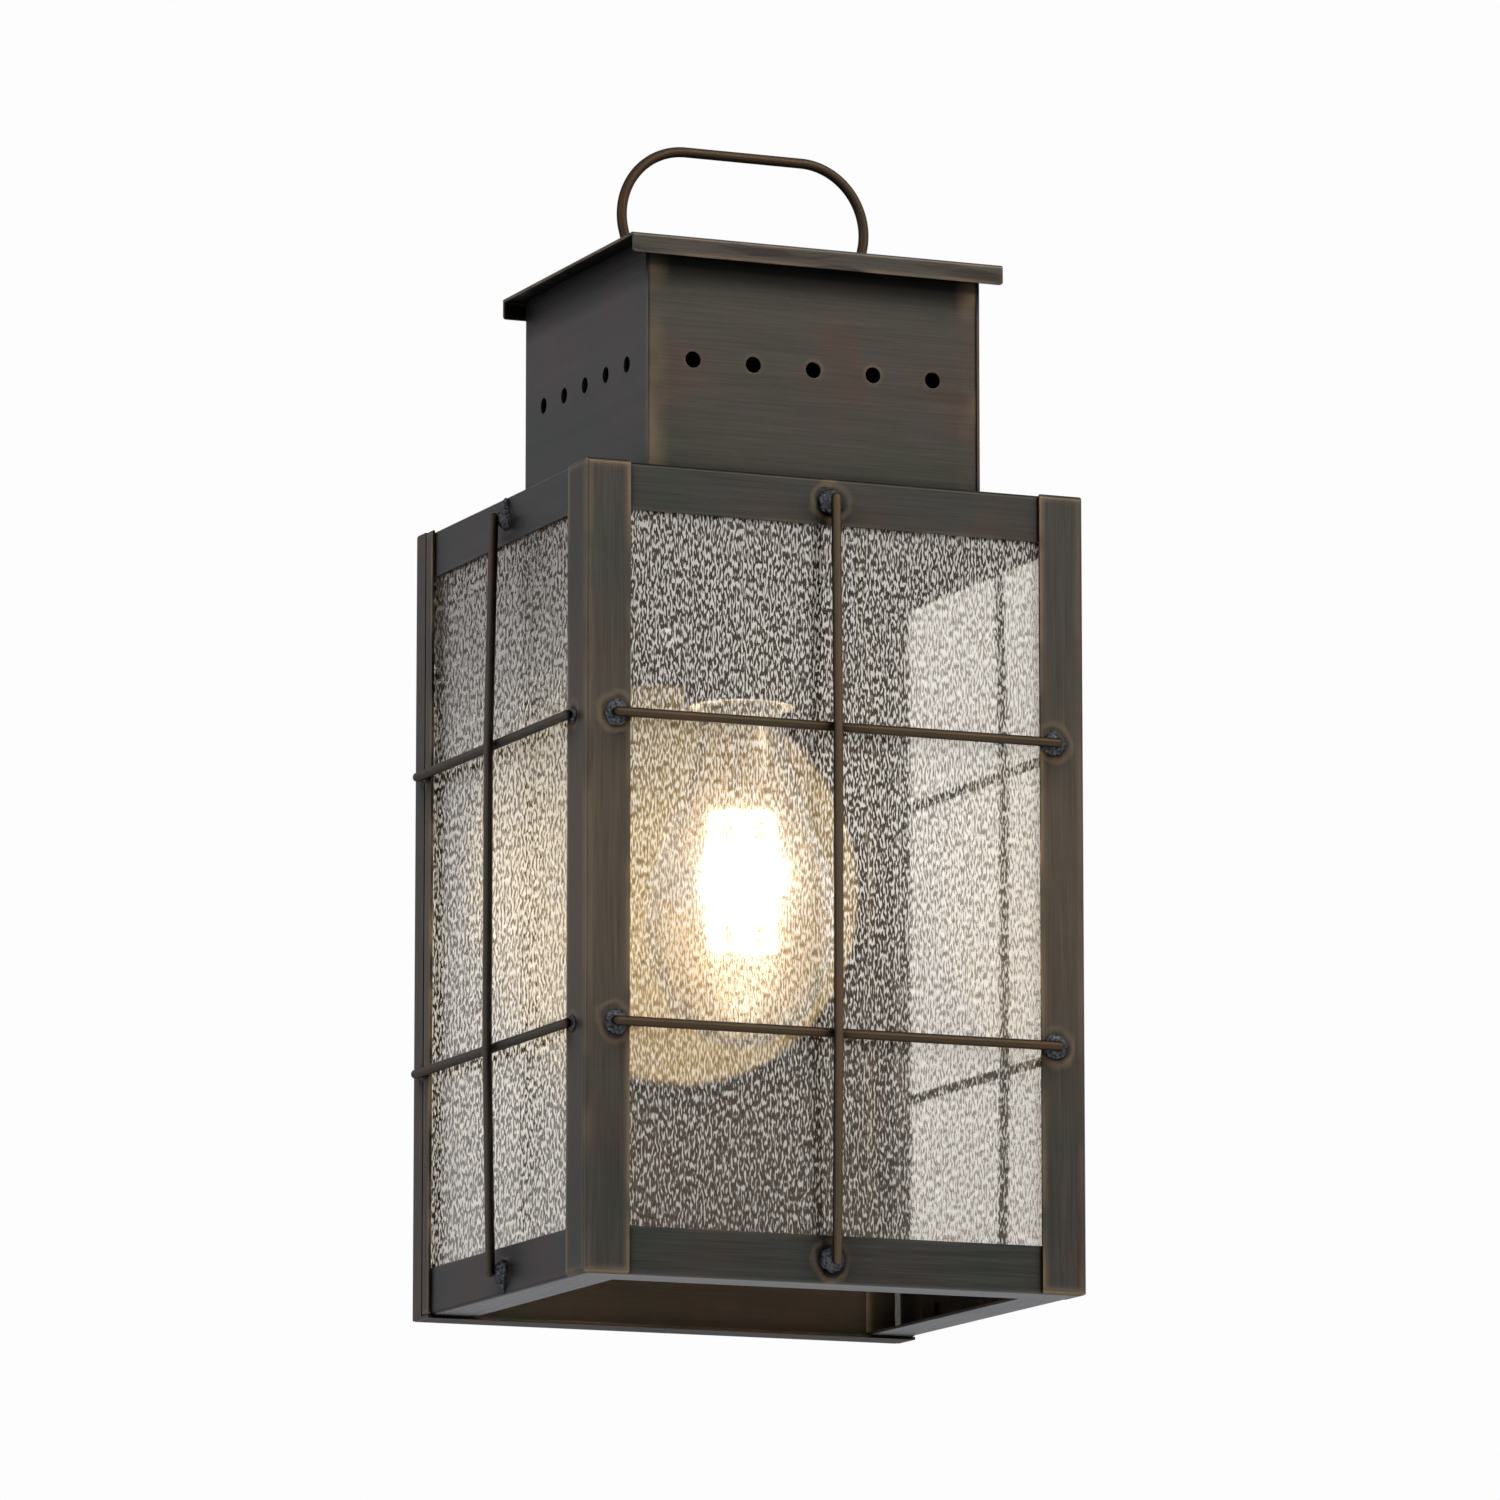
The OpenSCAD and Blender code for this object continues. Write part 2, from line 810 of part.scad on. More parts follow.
module mounting_nipple() {
  color(steel)
    rotate([90, 0, 0])
      nipple(-reflector_face + cap_bore - 1);
}

module strap_nut() {
  color(steel)
    translate([0, -strap_t, 0])
      rotate([90, 0, 0])
        hex_nut();
}

module earth_screw() {
  head_t = 2.2;
  color("#4f7f4a")
    translate([earth_x, 0, 0])
      rotate([90, 0, 0]) {
        cylinder(h = strap_t, d = earth_d);
        translate([0, 0, strap_t])
          difference() {
            cylinder(h = head_t, d = earth_head_d);
            translate([-earth_head_d, -0.5, head_t - 0.8])
              cube([2*earth_head_d, 1, 2]);
          }
      }
}

// Round cover with a rolled edge, pressed against the pan by the cap nut
module reflector() {
  r = reflector_d/2;
  color(brass)
    translate([0, pan_face, 0])
      rotate([90, 0, 0])
        rotate_extrude($fn = 96)
          difference() {
            union() {
              square([r, reflector_h - reflector_r]);
              square([r - reflector_r, reflector_h]);
              translate([r - reflector_r, reflector_h - reflector_r])
                circle(reflector_r);
            }
            translate([-1, -1])
              square([r - sheet + 1, reflector_h - sheet + 1]);
            translate([-1, -1])
              square([nipple_d/2 + thread_gap + 1, reflector_h + 2]);
          }
}

module cap_nut() {
  dome_r = cap_d/2 - 1;
  color(bronze_dark)
    translate([0, reflector_face, 0])
      rotate([90, 0, 0])
        difference() {
          union() {
            cylinder(h = cap_l - dome_r, d = cap_d);
            translate([0, 0, cap_l - dome_r])
              intersection() {
                sphere(dome_r);
                translate([0, 0, dome_r])
                  cube(2*dome_r, center = true);
              }
          }
          translate([0, 0, -1])
            cylinder(h = cap_bore + 1, d = nipple_d + 2*thread_gap);
        }
}

// Children in the frame of the lamp's axis
module on_lamp_axis() {
  translate([0, -lamp_y, 0])
    children();
}

module socket_nipple() {
  low = cup_top - sheet - nut_t - 1;
  high = deck_top + nut_t + 2;
  color(steel)
    on_lamp_axis()
      translate([0, 0, low])
        nipple(high - low);
}

module socket_nuts() {
  color(steel)
    on_lamp_axis()
      for (z = [deck_top, deck_under - nut_t, cup_top, cup_top - sheet - nut_t])
        translate([0, 0, z])
          hex_nut();
}

module socket_cup() {
  color(bronze)
    on_lamp_axis()
      difference() {
        translate([0, 0, cup_mouth])
          cylinder(h = cup_l, r = cup_r);
        translate([0, 0, cup_mouth - 1])
          cylinder(h = cup_l + 1 - sheet, r = cup_r - sheet);
        translate([0, 0, cup_top - 2*sheet])
          cylinder(h = 3*sheet, d = nipple_d + 2*thread_gap);
      }
}

module socket_porcelain() {
  pocket_r = shell_r + socket_gap;
  color("#ece7dc")
    on_lamp_axis()
      difference() {
        translate([0, 0, cup_mouth])
          cylinder(h = porcelain_top - cup_mouth, r = porcelain_r);
        translate([0, 0, cup_mouth - 1])
          cylinder(h = contact_top - cup_mouth + 1, r = pocket_r);
      }
}

module screw_shell() {
  color(brass)
    on_lamp_axis()
      translate([0, 0, cup_mouth + 1])
        difference() {
          cylinder(h = contact_top - cup_mouth - 1, r = shell_r);
          translate([0, 0, -1])
            cylinder(h = contact_top - cup_mouth - 1, d = shell_bore);
          translate([0, 0, -2])
            cylinder(h = contact_top - cup_mouth + 3, r = insulator_r);
        }
}

module centre_contact() {
  color(brass)
    on_lamp_axis()
      translate([0, 0, contact_top - contact_t])
        cylinder(h = contact_t, r = tip_r + 0.4);
}

// Outline of the lamp's glass, measured up from its tip: dome, belly and a long taper to the neck
glass_h = glass_top - lamp_bottom;
function glass_radius(s) = neck_d/2 + (lamp_d - neck_d)/2*(0.5 + 0.5*cos(180*s));
function glass_outline(inset) = concat(
  [for (t = [6 : 6 : 90])
    [(lamp_d/2 - inset)*sin(t), lamp_belly - (lamp_belly - inset)*cos(t)]],
  [for (s = [0.0625 : 0.0625 : 1])
    [glass_radius(s) - inset, lamp_belly + s*(glass_h - lamp_belly)]]
);

module lamp_glass() {
  color("#f2e2b8", 0.5)
    on_lamp_axis()
      translate([0, 0, lamp_bottom])
        rotate_extrude()
          difference() {
            polygon(concat([[0, glass_h], [0, 0]], glass_outline(0)));
            polygon(concat([[-1, glass_h + 1], [-1, lamp_wall], [0, lamp_wall]], glass_outline(lamp_wall),
              [[neck_d/2 - lamp_wall, glass_h + 1]]));
          }
}

cap_shell_h = cap_len - tip_h - insulator_h;
cap_steps = 6;

// Screw cap: a thin sleeve with rounded ridges
module lamp_cap() {
  ridges = floor((cap_shell_h - 6)/screw_pitch);
  low_r = screw_d/2 - screw_depth;
  color("#c9c4b4")
    on_lamp_axis()
      translate([0, 0, glass_top])
        rotate_extrude()
          difference() {
            polygon(concat(
              [[0, 0], [screw_d/2, 0], [screw_d/2, 3]],
              [for (i = [0 : ridges*cap_steps])
                [low_r + screw_depth*(0.5 - 0.5*cos(360*i/cap_steps)), 4 + i*screw_pitch/cap_steps]],
              [[low_r, cap_shell_h - 1], [insulator_r, cap_shell_h], [0, cap_shell_h]]
            ));
            translate([-1, -1])
              square([low_r - cap_wall + 1, cap_shell_h]);
            translate([-1, -1])
              square([tip_r + 1, cap_shell_h + 2]);
          }
}

module lamp_insulator() {
  color("#23211f")
    on_lamp_axis()
      translate([0, 0, glass_top + cap_shell_h])
        cylinder(h = insulator_h, r1 = insulator_r - 0.5, r2 = tip_r + 0.6);
}

module lamp_tip() {
  color(steel)
    on_lamp_axis()
      translate([0, 0, lamp_top - tip_h])
        cylinder(h = tip_h, r1 = tip_r, r2 = tip_r - 1);
}

// Glass stem that carries the filaments, standing in the screw cap
module lamp_stem() {
  filament_top = lamp_bottom + filament_mid + filament_l/2;
  color("#dfe3df", 0.6)
    on_lamp_axis() {
      translate([0, 0, filament_top + 1])
        cylinder(h = glass_top + cap_shell_h - filament_top - 1, r = tip_r - 1);
      translate([0, 0, glass_top - 8])
        cylinder(h = 8, r1 = tip_r - 1, r2 = stem_r);
      translate([0, 0, lamp_bottom + filament_mid - filament_l/2 - 2])
        cylinder(h = filament_l + 4, r = 1.2);
    }
}

module lamp_filaments() {
  rod_r = filament_d/2;
  low = lamp_bottom + filament_mid - filament_l/2;
  hub_t = 1;
  color("#ffe3a0")
    on_lamp_axis() {
      for (i = [0 : filament_count - 1])
        rotate([0, 0, 360*i/filament_count])
          translate([filament_ring, 0, low])
            cylinder(h = filament_l, r = rod_r, $fn = 16);
      for (z = [low, low + filament_l - hub_t])
        translate([0, 0, z])
          difference() {
            union() {
              cylinder(h = hub_t, r = 2);
              for (i = [0 : filament_count - 1])
                rotate([0, 0, 360*i/filament_count])
                  translate([0, -0.4, 0])
                    cube([filament_ring, 0.8, hub_t]);
            }
            translate([0, 0, -1])
              cylinder(h = hub_t + 2, r = 1.25);
          }
    }
}

// Points on an arc about a centre [y, z], from one angle to another
function arc(centre, r, from, to, steps) = [
  for (i = [0 : steps])
    let (t = from + (to - from)*i/steps)
      centre + r*[cos(t), sin(t)]
];

// Up the nipple, over, down through the deck, back through the pan and down behind it
lead_over_r = grommet_back/2;
lead_path = concat(
  [[-lamp_y, lead_start]],
  arc([-lamp_y + lead_over_r, lead_over], lead_over_r, 180, 0, 12),
  arc([grommet_y + bend_big, grommet_z + bend_big], bend_big, 180, 270, 6),
  arc([cavity_y - bend_small, grommet_z - bend_small], bend_small, 90, 0, 5),
  [[cavity_y, lead_end]]
);

module lead_wires() {
  radii = [for (p = lead_path) lead_d/2];
  for (turn = [-1, 1])
    color(turn > 0 ? "#1d1c1b" : "#e9e7e0")
      translate([turn*lead_x, 0, 0])
        tube(lead_path, radii, lead_sides);
}

// Rubber grommet in a hole of the sheet, whose outer face is the plane z = 0
module grommet() {
  color("#1f1e1d")
    difference() {
      union() {
        translate([0, 0, -sheet])
          cylinder(h = sheet, d = grommet_d - 2*bar_fit);
        cylinder(h = grommet_flange_t, d = grommet_flange_d);
        translate([0, 0, -sheet - grommet_flange_t])
          cylinder(h = grommet_flange_t, d = grommet_flange_d);
      }
      translate([0, 0, -sheet - 2*grommet_flange_t])
        cylinder(h = sheet + 4*grommet_flange_t, d = grommet_bore);
    }
}

front_post();  // post_front_left
mirror([1, 0, 0]) front_post();  // post_front_right
rear_post();  // post_rear_left
mirror([1, 0, 0]) rear_post();  // post_rear_right
front_rail(true);  // rail_top_front
side_rail(true);  // rail_top_left
mirror([1, 0, 0]) side_rail(true);  // rail_top_right
rear_top_rail();  // rail_top_rear
front_rail(false);  // rail_bottom_front
side_rail(false);  // rail_bottom_left
mirror([1, 0, 0]) side_rail(false);  // rail_bottom_right
rear_bottom_rail();  // rail_bottom_rear
top_deck();
front_pane();  // glass_front
side_pane();  // glass_left
mirror([1, 0, 0]) side_pane();  // glass_right
glass_clips();
color(bronze) translate([-bar_shift, 0, 0]) on_front() upright_bar(bar_d/2);  // bar_front_upright
front_cross_bar(bar_high);  // bar_front_upper
front_cross_bar(bar_low);  // bar_front_lower
color(bronze) on_side(false) upright_bar(bar_d/2);  // bar_left_upright
side_cross_bar(bar_high, false);  // bar_left_upper
side_cross_bar(bar_low, false);  // bar_left_lower
color(bronze) on_side(true) upright_bar(bar_d/2);  // bar_right_upright
side_cross_bar(bar_high, true);  // bar_right_upper
side_cross_bar(bar_low, true);  // bar_right_lower
color(solder_grey) on_front() face_beads(-bead_x, bead_x, -bar_shift, bead_d);  // solder_front
color(solder_grey) on_side(false) face_beads(-bead_far, bead_near, 0, side_bead_d);  // solder_left
color(solder_grey) on_side(true) face_beads(-bead_far, bead_near, 0, side_bead_d);  // solder_right
front_panel();  // chimney_front
rear_copy() front_panel();  // chimney_rear
side_panel();  // chimney_left
mirror([1, 0, 0]) side_panel();  // chimney_right
roof();
handle();
handle_solder();
back_pan();
mounting_strap();
mounting_nipple();
strap_nut();
earth_screw();
reflector();
cap_nut();
socket_nipple();
socket_nuts();
socket_cup();
socket_porcelain();
screw_shell();
centre_contact();
lamp_glass();
lamp_cap();
lamp_insulator();
lamp_tip();
lamp_stem();
lamp_filaments();
lead_wires();
translate([0, grommet_y, deck_top]) grommet();  // deck_grommet
translate([0, pan_face, grommet_z]) rotate([90, 0, 0]) grommet();  // pan_grommet
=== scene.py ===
# %% [markdown]
# # A bronze wall lantern with rain glass
# The solids of this lantern come packed from its CAD source. This file gives them their finishes, sets the
# lumpy solder where the bars are joined, lights the lamp, and looks at it all from the photograph's place.
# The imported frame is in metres: X runs to the right across the front, the front faces -Y, and the wall is
# y = 0.

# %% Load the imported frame
import math

import bmesh
import bpy
from mathutils import Matrix, Vector, noise


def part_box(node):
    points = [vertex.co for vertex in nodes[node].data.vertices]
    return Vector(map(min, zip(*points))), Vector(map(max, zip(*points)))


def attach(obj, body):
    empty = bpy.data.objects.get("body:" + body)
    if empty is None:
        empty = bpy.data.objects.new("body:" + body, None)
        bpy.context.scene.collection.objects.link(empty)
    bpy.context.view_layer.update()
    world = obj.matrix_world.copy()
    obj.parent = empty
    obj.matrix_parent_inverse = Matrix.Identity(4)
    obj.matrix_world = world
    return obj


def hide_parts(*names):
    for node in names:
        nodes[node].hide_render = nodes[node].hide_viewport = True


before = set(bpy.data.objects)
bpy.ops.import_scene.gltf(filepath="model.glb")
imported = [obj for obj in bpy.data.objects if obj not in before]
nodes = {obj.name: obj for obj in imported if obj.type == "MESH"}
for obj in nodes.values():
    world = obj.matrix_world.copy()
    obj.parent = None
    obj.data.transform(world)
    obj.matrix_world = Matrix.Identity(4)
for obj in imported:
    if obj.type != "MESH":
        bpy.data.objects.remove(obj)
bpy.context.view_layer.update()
# Millimetres in a metre
mm = 1000


def shown(corner, digits=4):
    """A place with its numbers rounded, for printing."""
    return tuple(round(value, digits) for value in corner)


def put(name, data):
    """A new object of this name in the scene."""
    made = bpy.data.objects.new(name, data)
    bpy.context.scene.collection.objects.link(made)
    return made


# %% [markdown]
# ## The camera
# The photograph looks up at the lantern from low on its left, through a long lens, so the upright edges stay
# parallel. The place and the lens were worked out from about sixty corners of the real object, and the camera
# points at the middle of the picture with no shift.

# %% Place the camera
azimuth, elevation = math.radians(-23.07), math.radians(-9.57)
distance, picture_middle = 3.25, Vector((0.00353, -0.072, 0.03768))
focal_length, sensor_width = 230.54, 36


def look(place, target):
    """The rotation that turns a camera at place to face target, with the top of the picture up."""
    return (Vector(target) - Vector(place)).to_track_quat("-Z", "Y")


camera_data = bpy.data.cameras.new("long_lens")
camera_data.lens, camera_data.sensor_width = focal_length, sensor_width
camera_data.clip_start, camera_data.clip_end = 0.1, 100
camera = put("camera", camera_data)
towards_camera = Vector((
    math.sin(azimuth) * math.cos(elevation),
    -math.cos(azimuth) * math.cos(elevation),
    math.sin(elevation),
))
camera.location = picture_middle + towards_camera * distance
camera.rotation_mode = "QUATERNION"
camera.rotation_quaternion = look(camera.location, picture_middle)
bpy.context.scene.camera = camera
bpy.context.scene.view_settings.view_transform = "Standard"
print("camera at", shown(camera.location, 3))

# %% [markdown]
# ## Colours and nodes
# A colour is written as the hex value that a colour picker shows, and Blender wants it linear, so one
# function turns it. Every material is a handful of nodes, and one small function adds a node, sets its
# options and fills its inputs with numbers, colours or what another node gives. Patterns are written in
# millimetres on the lantern itself, so that brushed lines, ridges and lumps have their real size.

# %% Helpers for materials
def colour(hex_value):
    """An sRGB hex value as the linear colour that Blender works in."""
    parts = [int(hex_value[i : i + 2], 16) / 255 for i in (1, 3, 5)]
    return (*[p / 12.92 if p <= 0.04045 else ((p + 0.055) / 1.055) ** 2.4 for p in parts], 1.0)


def add(tree, kind, inputs=None, **settings):
    """Adds a node with its settings. inputs maps a socket's name or number to a value, or to a node or its
    output."""
    node = tree.nodes.new("ShaderNode" + kind)
    for name, value in settings.items():
        setattr(node, name, value)
    for key, value in (inputs or {}).items():
        if isinstance(key, int):
            socket = node.inputs[key]
        else:
            socket = next(s for s in node.inputs if s.enabled and s.name == key)
        if isinstance(value, bpy.types.Node):
            value = next(s for s in value.outputs if s.enabled)
        if isinstance(value, bpy.types.NodeSocket):
            tree.links.new(value, socket)
        else:
            socket.default_value = value
    return node


def material(name):
    """An empty material, and its node tree."""
    made = bpy.data.materials.new(name)
    made.use_nodes = True
    made.node_tree.nodes.clear()
    return made, made.node_tree


def millimetres(tree):
    """The place on the lantern in millimetres."""
    place = add(tree, "TexCoord").outputs["Object"]
    return add(tree, "VectorMath", {0: place, "Scale": mm}, operation="SCALE")


def facing(tree):
    """The way that the face points, apart along X, Y and Z."""
    return add(tree, "SeparateXYZ", {0: add(tree, "NewGeometry").outputs["Normal"]}).outputs


def how_far(tree, value, middle=0.0):
    """How far a value is from a middle, to either side."""
    moved = add(tree, "Math", {0: value, 1: middle}, operation="SUBTRACT")
    return add(tree, "Math", {0: moved}, operation="ABSOLUTE")


def finish_with(made, *names):
    """Gives carried-over solids their material."""
    for name in names:
        for slot in nodes[name].material_slots:
            slot.material = made
    print(made.name, "on", ", ".join(names))


print("the hex value #808080 is", shown(colour("#808080"), 3))

# %% [markdown]
# ## The studio
# The lantern hangs free in front of a plain white wall, which the camera and the glass see. The room in front
# is dimmer, as a real studio is, and its ceiling is bright. Metal mirrors all three, so a sheet seen at a
# glancing angle is grey with the wall's light. What is matt gets its soft light from overhead. A picture of a
# studio could light it all, but two plain gradients do the same with no file. Two large soft lamps give the
# long highlights. A small one in front on the right lights only what is matt, the ridges of the front glass
# above all, so the bars throw thin shadows on the pane. The floor is far down, below the camera, and is clear
# from underneath so that it never hides the lantern from a low view.

# %% The room as a world
world = bpy.data.worlds.new("white_studio")
world.use_nodes = True
bpy.context.scene.world = world
sky = world.node_tree
sky.nodes.clear()
ray = add(sky, "LightPath").outputs
seen = add(sky, "Math", {0: ray["Is Camera Ray"], 1: ray["Is Transmission Ray"]}, operation="MAXIMUM")
towards = add(sky, "SeparateXYZ", {0: add(sky, "TexCoord").outputs["Generated"]}).outputs
wall = add(sky, "MapRange", {"Value": towards["Y"], "From Min": -0.75, "From Max": 0.2, "To Min": 0.42})
ceiling = add(sky, "MapRange", {"Value": towards["Z"], "From Min": 0.3, "From Max": 0.85})
room = add(sky, "Math", {0: wall, 1: ceiling}, operation="MAXIMUM")
overhead = add(sky, "MapRange", {"Value": towards["Z"], "From Min": 0.3, "From Max": 0.8, "To Min": 0.12})
white = add(sky, "Background", {"Color": colour("#fdfdfd"), "Strength": 1.0})
mirrored = add(sky, "Background", {"Color": colour("#fbfbfd"), "Strength": room})
soft = add(sky, "Background", {"Color": colour("#f6f8fc"), "Strength": overhead})
unseen = add(sky, "MixShader", {0: ray["Is Glossy Ray"], 1: soft, 2: mirrored})
add(sky, "OutputWorld", {"Surface": add(sky, "MixShader", {0: seen, 1: unseen, 2: white})})
print("white wall, dim room and bright ceiling")

# %% Softboxes
lantern_middle = (0, -0.08, 0)


def softbox(name, place, target, size, power, tint):
    """A square lamp of this size in metres and power in watts, turned to face the target."""
    data = bpy.data.lights.new(name, "AREA")
    data.shape, data.size, data.energy, data.color = "SQUARE", size, power, colour(tint)[:3]
    lamp = put(name, data)
    lamp.location = place
    lamp.rotation_mode = "QUATERNION"
    lamp.rotation_quaternion = look(place, target)
    print(name, power, "W")
    return lamp


softbox("key_softbox", (1.3, -2.2, 1.9), lantern_middle, 1.6, 40, "#fff8ee")
softbox("fill_softbox", (-2.4, -1.2, 0.9), lantern_middle, 1.6, 12, "#f2f5ff")
relief_light = softbox("relief_softbox", (1.83, -2.8, 1.46), (0, -0.08, 0.02), 0.34, 120, "#fff9f1")
relief_light.visible_glossy = False

# %% Floor
# From its middle to each side, in metres, and its height
half_floor, floor_height = 40, -1.9

floor_mesh = bpy.data.meshes.new("studio_floor")
shape = bmesh.new()
bmesh.ops.create_grid(shape, x_segments=1, y_segments=1, size=half_floor)
bmesh.ops.translate(shape, vec=(0, 0, floor_height), verts=shape.verts)
shape.to_mesh(floor_mesh)
shape.free()
floor = put("studio_floor", floor_mesh)

# Matt white paint gives an even white, with nothing mirrored in it
pale_paint, tree = material("matt_white_paint")
under = add(tree, "NewGeometry").outputs["Backfacing"]
paint = add(tree, "BsdfDiffuse", {"Color": colour("#f4f4f4")})
clear = add(tree, "BsdfTransparent")
add(tree, "OutputMaterial", {"Surface": add(tree, "MixShader", {0: under, 1: paint, 2: clear})})
floor_mesh.materials.append(pale_paint)
print("floor at z =", floor_height)

# %% [markdown]
# ## Oil-rubbed bronze
# The sheets are brushed brass, darkened with acid to a thin brown-black patina and then rubbed with oil.
# Hands and the brush take the patina off along the edges, where the metal shows through as a thin copper
# line. The brush leaves fine lines that run along each piece, and the acid leaves faint clouds of green-grey
# and red. In corners, under the roof and on the upper edges the patina is darkened with painted shade, and
# the inside was never brushed. Undersides are painted paler, and rods get a painted highlight on their outer
# side, as painted light. Flame and flux at each soldered joint leave a ring: dark next to the solder, and
# bare and tan outside it. All this could be painted on a picture of each sheet. But it follows from the shape
# and from where things touch, so the material works it out from those, and the places of the joints come
# first, from the boxes of the bars, posts and rails.

# %% Where the bars are soldered
# How far in from a bar's end the middle of its bead lies, in metres
tail = 0.0022


def bar_ends(bar, along, face, outward):
    """The feet of the beads at both ends of a bar that runs along one axis, on the face at that place on the
    outward axis."""
    low, high = [Vector(corner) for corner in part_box(bar)]
    ends = []
    for end in (low[along] + tail, high[along] - tail):
        foot = (low + high) / 2
        foot[along], foot[outward] = end, face
        ends.append(foot)
    return ends


post_low, post_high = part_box("post_front_right")
front_face, side_face = post_low[1], post_high[0]
front_rail_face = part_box("rail_top_front")[0][1]
side_rail_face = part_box("rail_top_right")[1][0]
front_cross = bar_ends("bar_front_upper", 0, front_face, 1) + bar_ends("bar_front_lower", 0, front_face, 1)
front_upright = bar_ends("bar_front_upright", 2, front_rail_face, 1)
side_cross, side_upright = {}, {}
for side, sign in (("left", -1), ("right", 1)):
    levels = [f"bar_{side}_upper", f"bar_{side}_lower"]
    side_cross[side] = [foot for bar in levels for foot in bar_ends(bar, 1, sign * side_face, 0)]
    side_upright[side] = bar_ends(f"bar_{side}_upright", 2, sign * side_rail_face, 0)


def ring(feet):
    """Beads in a symmetrical set: their middle, and the place of one from it, in millimetres."""
    low = Vector([min(foot[i] for foot in feet) for i in range(3)])
    high = Vector([max(foot[i] for foot in feet) for i in range(3)])
    return (low + high) * mm / 2, (high - low) * mm / 2


front_rings = [ring(front_cross), ring(front_upright)]
side_rings = [ring(feet["left"] + feet["right"]) for feet in (side_cross, side_upright)]
middle_z = front_rings[0][0].z
print(len(front_rings + side_rings), "sets of beads, about the height of", round(middle_z, 1), "mm")

# %% Painted shade in corners and on upper edges, and the unbrushed inside
shell_low, shell_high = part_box("post_front_left")[0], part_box("post_rear_right")[1]
body_middle_y = (shell_low[1] + shell_high[1]) * mm / 2
shell_x, shell_y = shell_high[0] * mm, (shell_high[1] - shell_low[1]) * mm / 2


def painted_shade_under_cover(tree, reach, low, high, darkest):
    """Painted shade: darkest in a corner or under an overhang, and 1 in the open. It looks for cover a little
    above the face's own way, over a reach in metres."""
    normal = add(tree, "NewGeometry").outputs["Normal"]
    leaning = add(tree, "VectorMath", {0: normal, 1: (0, 0, 0.8)}, operation="ADD")
    leaning = add(tree, "VectorMath", {0: leaning}, operation="NORMALIZE")
    open_sky = add(tree, "AmbientOcclusion", {"Distance": reach, "Normal": leaning}, samples=8).outputs["AO"]
    return add(tree, "MapRange", {"Value": open_sky, "From Min": low, "From Max": high, "To Min": darkest})


def outside(tree, parts, inner):
    """1 on the outer faces and 0 within inner, how far the inside reaches from the body's middle along X and
    along Y."""
    beyond = []
    for away, reach in zip((how_far(tree, parts["X"]), how_far(tree, parts["Y"], body_middle_y)), inner):
        beyond.append(add(tree, "MapRange", {"Value": away, "From Min": reach - 0.3, "From Max": reach}))
    return add(tree, "Math", {0: beyond[0], 1: beyond[1]}, operation="MAXIMUM")


def painted_shade_on_top_edges(tree, rounded):
    """Painted shade: dark where a rounded edge turns upwards, and 1 on upright faces and on flat tops."""
    lean = add(tree, "SeparateXYZ", {0: rounded}).outputs["Z"]
    turned = {"Value": lean, "From Min": 0.06, "From Max": 0.35, "To Min": 1, "To Max": 0.3}
    flat_top = add(tree, "MapRange", {"Value": lean, "From Min": 0.9, "From Max": 0.98})
    return add(tree, "Math", {0: add(tree, "MapRange", turned), 1: flat_top}, operation="MAXIMUM")


print("the body's middle is at y =", round(body_middle_y, 1), "mm")

# %% What acid, oil and flame leave on the sheet
# How large the clouds are, and how far apart the streaks bend, in millimetres
cloud_size, bend_size = 38, 30
green_grey, red = (0.88, 1.0, 0.94, 1), (1.14, 0.97, 0.92, 1)
# The beads of the sides are smaller, so the rings round them are smaller by this, in millimetres
side_ring_less = 2.0


def clouded(tree, clouds):
    """White with faint clouds of green-grey and red."""
    cool_part = add(tree, "MapRange", {"Value": clouds, "From Min": 0.48, "From Max": 0.66})
    warm_part = add(tree, "MapRange", {"Value": clouds, "From Min": 0.46, "From Max": 0.32})
    tint = add(tree, "Mix", {"Factor": cool_part, "A": (1, 1, 1, 1), "B": green_grey}, data_type="RGBA")
    return add(tree, "Mix", {"Factor": warm_part, "A": tint, "B": red}, data_type="RGBA")


def smeared(tree, place, smear):
    """Dark streaks of oil drawn out along X. Rain has washed the flat top, so they are fainter there."""
    bent = add(tree, "TexNoise", {"Vector": place, "Scale": 1 / bend_size, "Detail": 1}).outputs["Color"]
    drawn = add(tree, "VectorMath", {0: place, 1: (0.035, 0.5, 0.5)}, operation="MULTIPLY")
    drawn = add(tree, "VectorMath", {0: bent, 1: (0, 3, 5), 2: drawn}, operation="MULTIPLY_ADD")
    streaks = add(tree, "TexNoise", {"Vector": drawn, "Scale": 0.5, "Detail": 2})
    deepest = add(tree, "MapRange", {
        "Value": facing(tree)["Z"], "From Min": 0.3, "From Max": 0.9,
        "To Min": 1 - smear, "To Max": 1 - smear / 4,
    })
    return add(tree, "MapRange", {
        "Value": streaks, "From Min": 0.5, "From Max": 0.4, "To Min": 1.0, "To Max": deepest,
    })


def distance_to_solder(tree, place, rings):
    """The distance in millimetres to the nearest bead. Folding the place about a set's middle finds all its
    beads at once."""
    nearest = None
    for centre, bead in rings:
        moved = add(tree, "VectorMath", {0: place, 1: centre}, operation="SUBTRACT")
        folded = add(tree, "VectorMath", {0: moved}, operation="ABSOLUTE")
        far = add(tree, "VectorMath", {0: folded, 1: bead}, operation="DISTANCE").outputs["Value"]
        nearest = far if nearest is None else add(tree, "Math", {0: nearest, 1: far}, operation="MINIMUM")
    return nearest


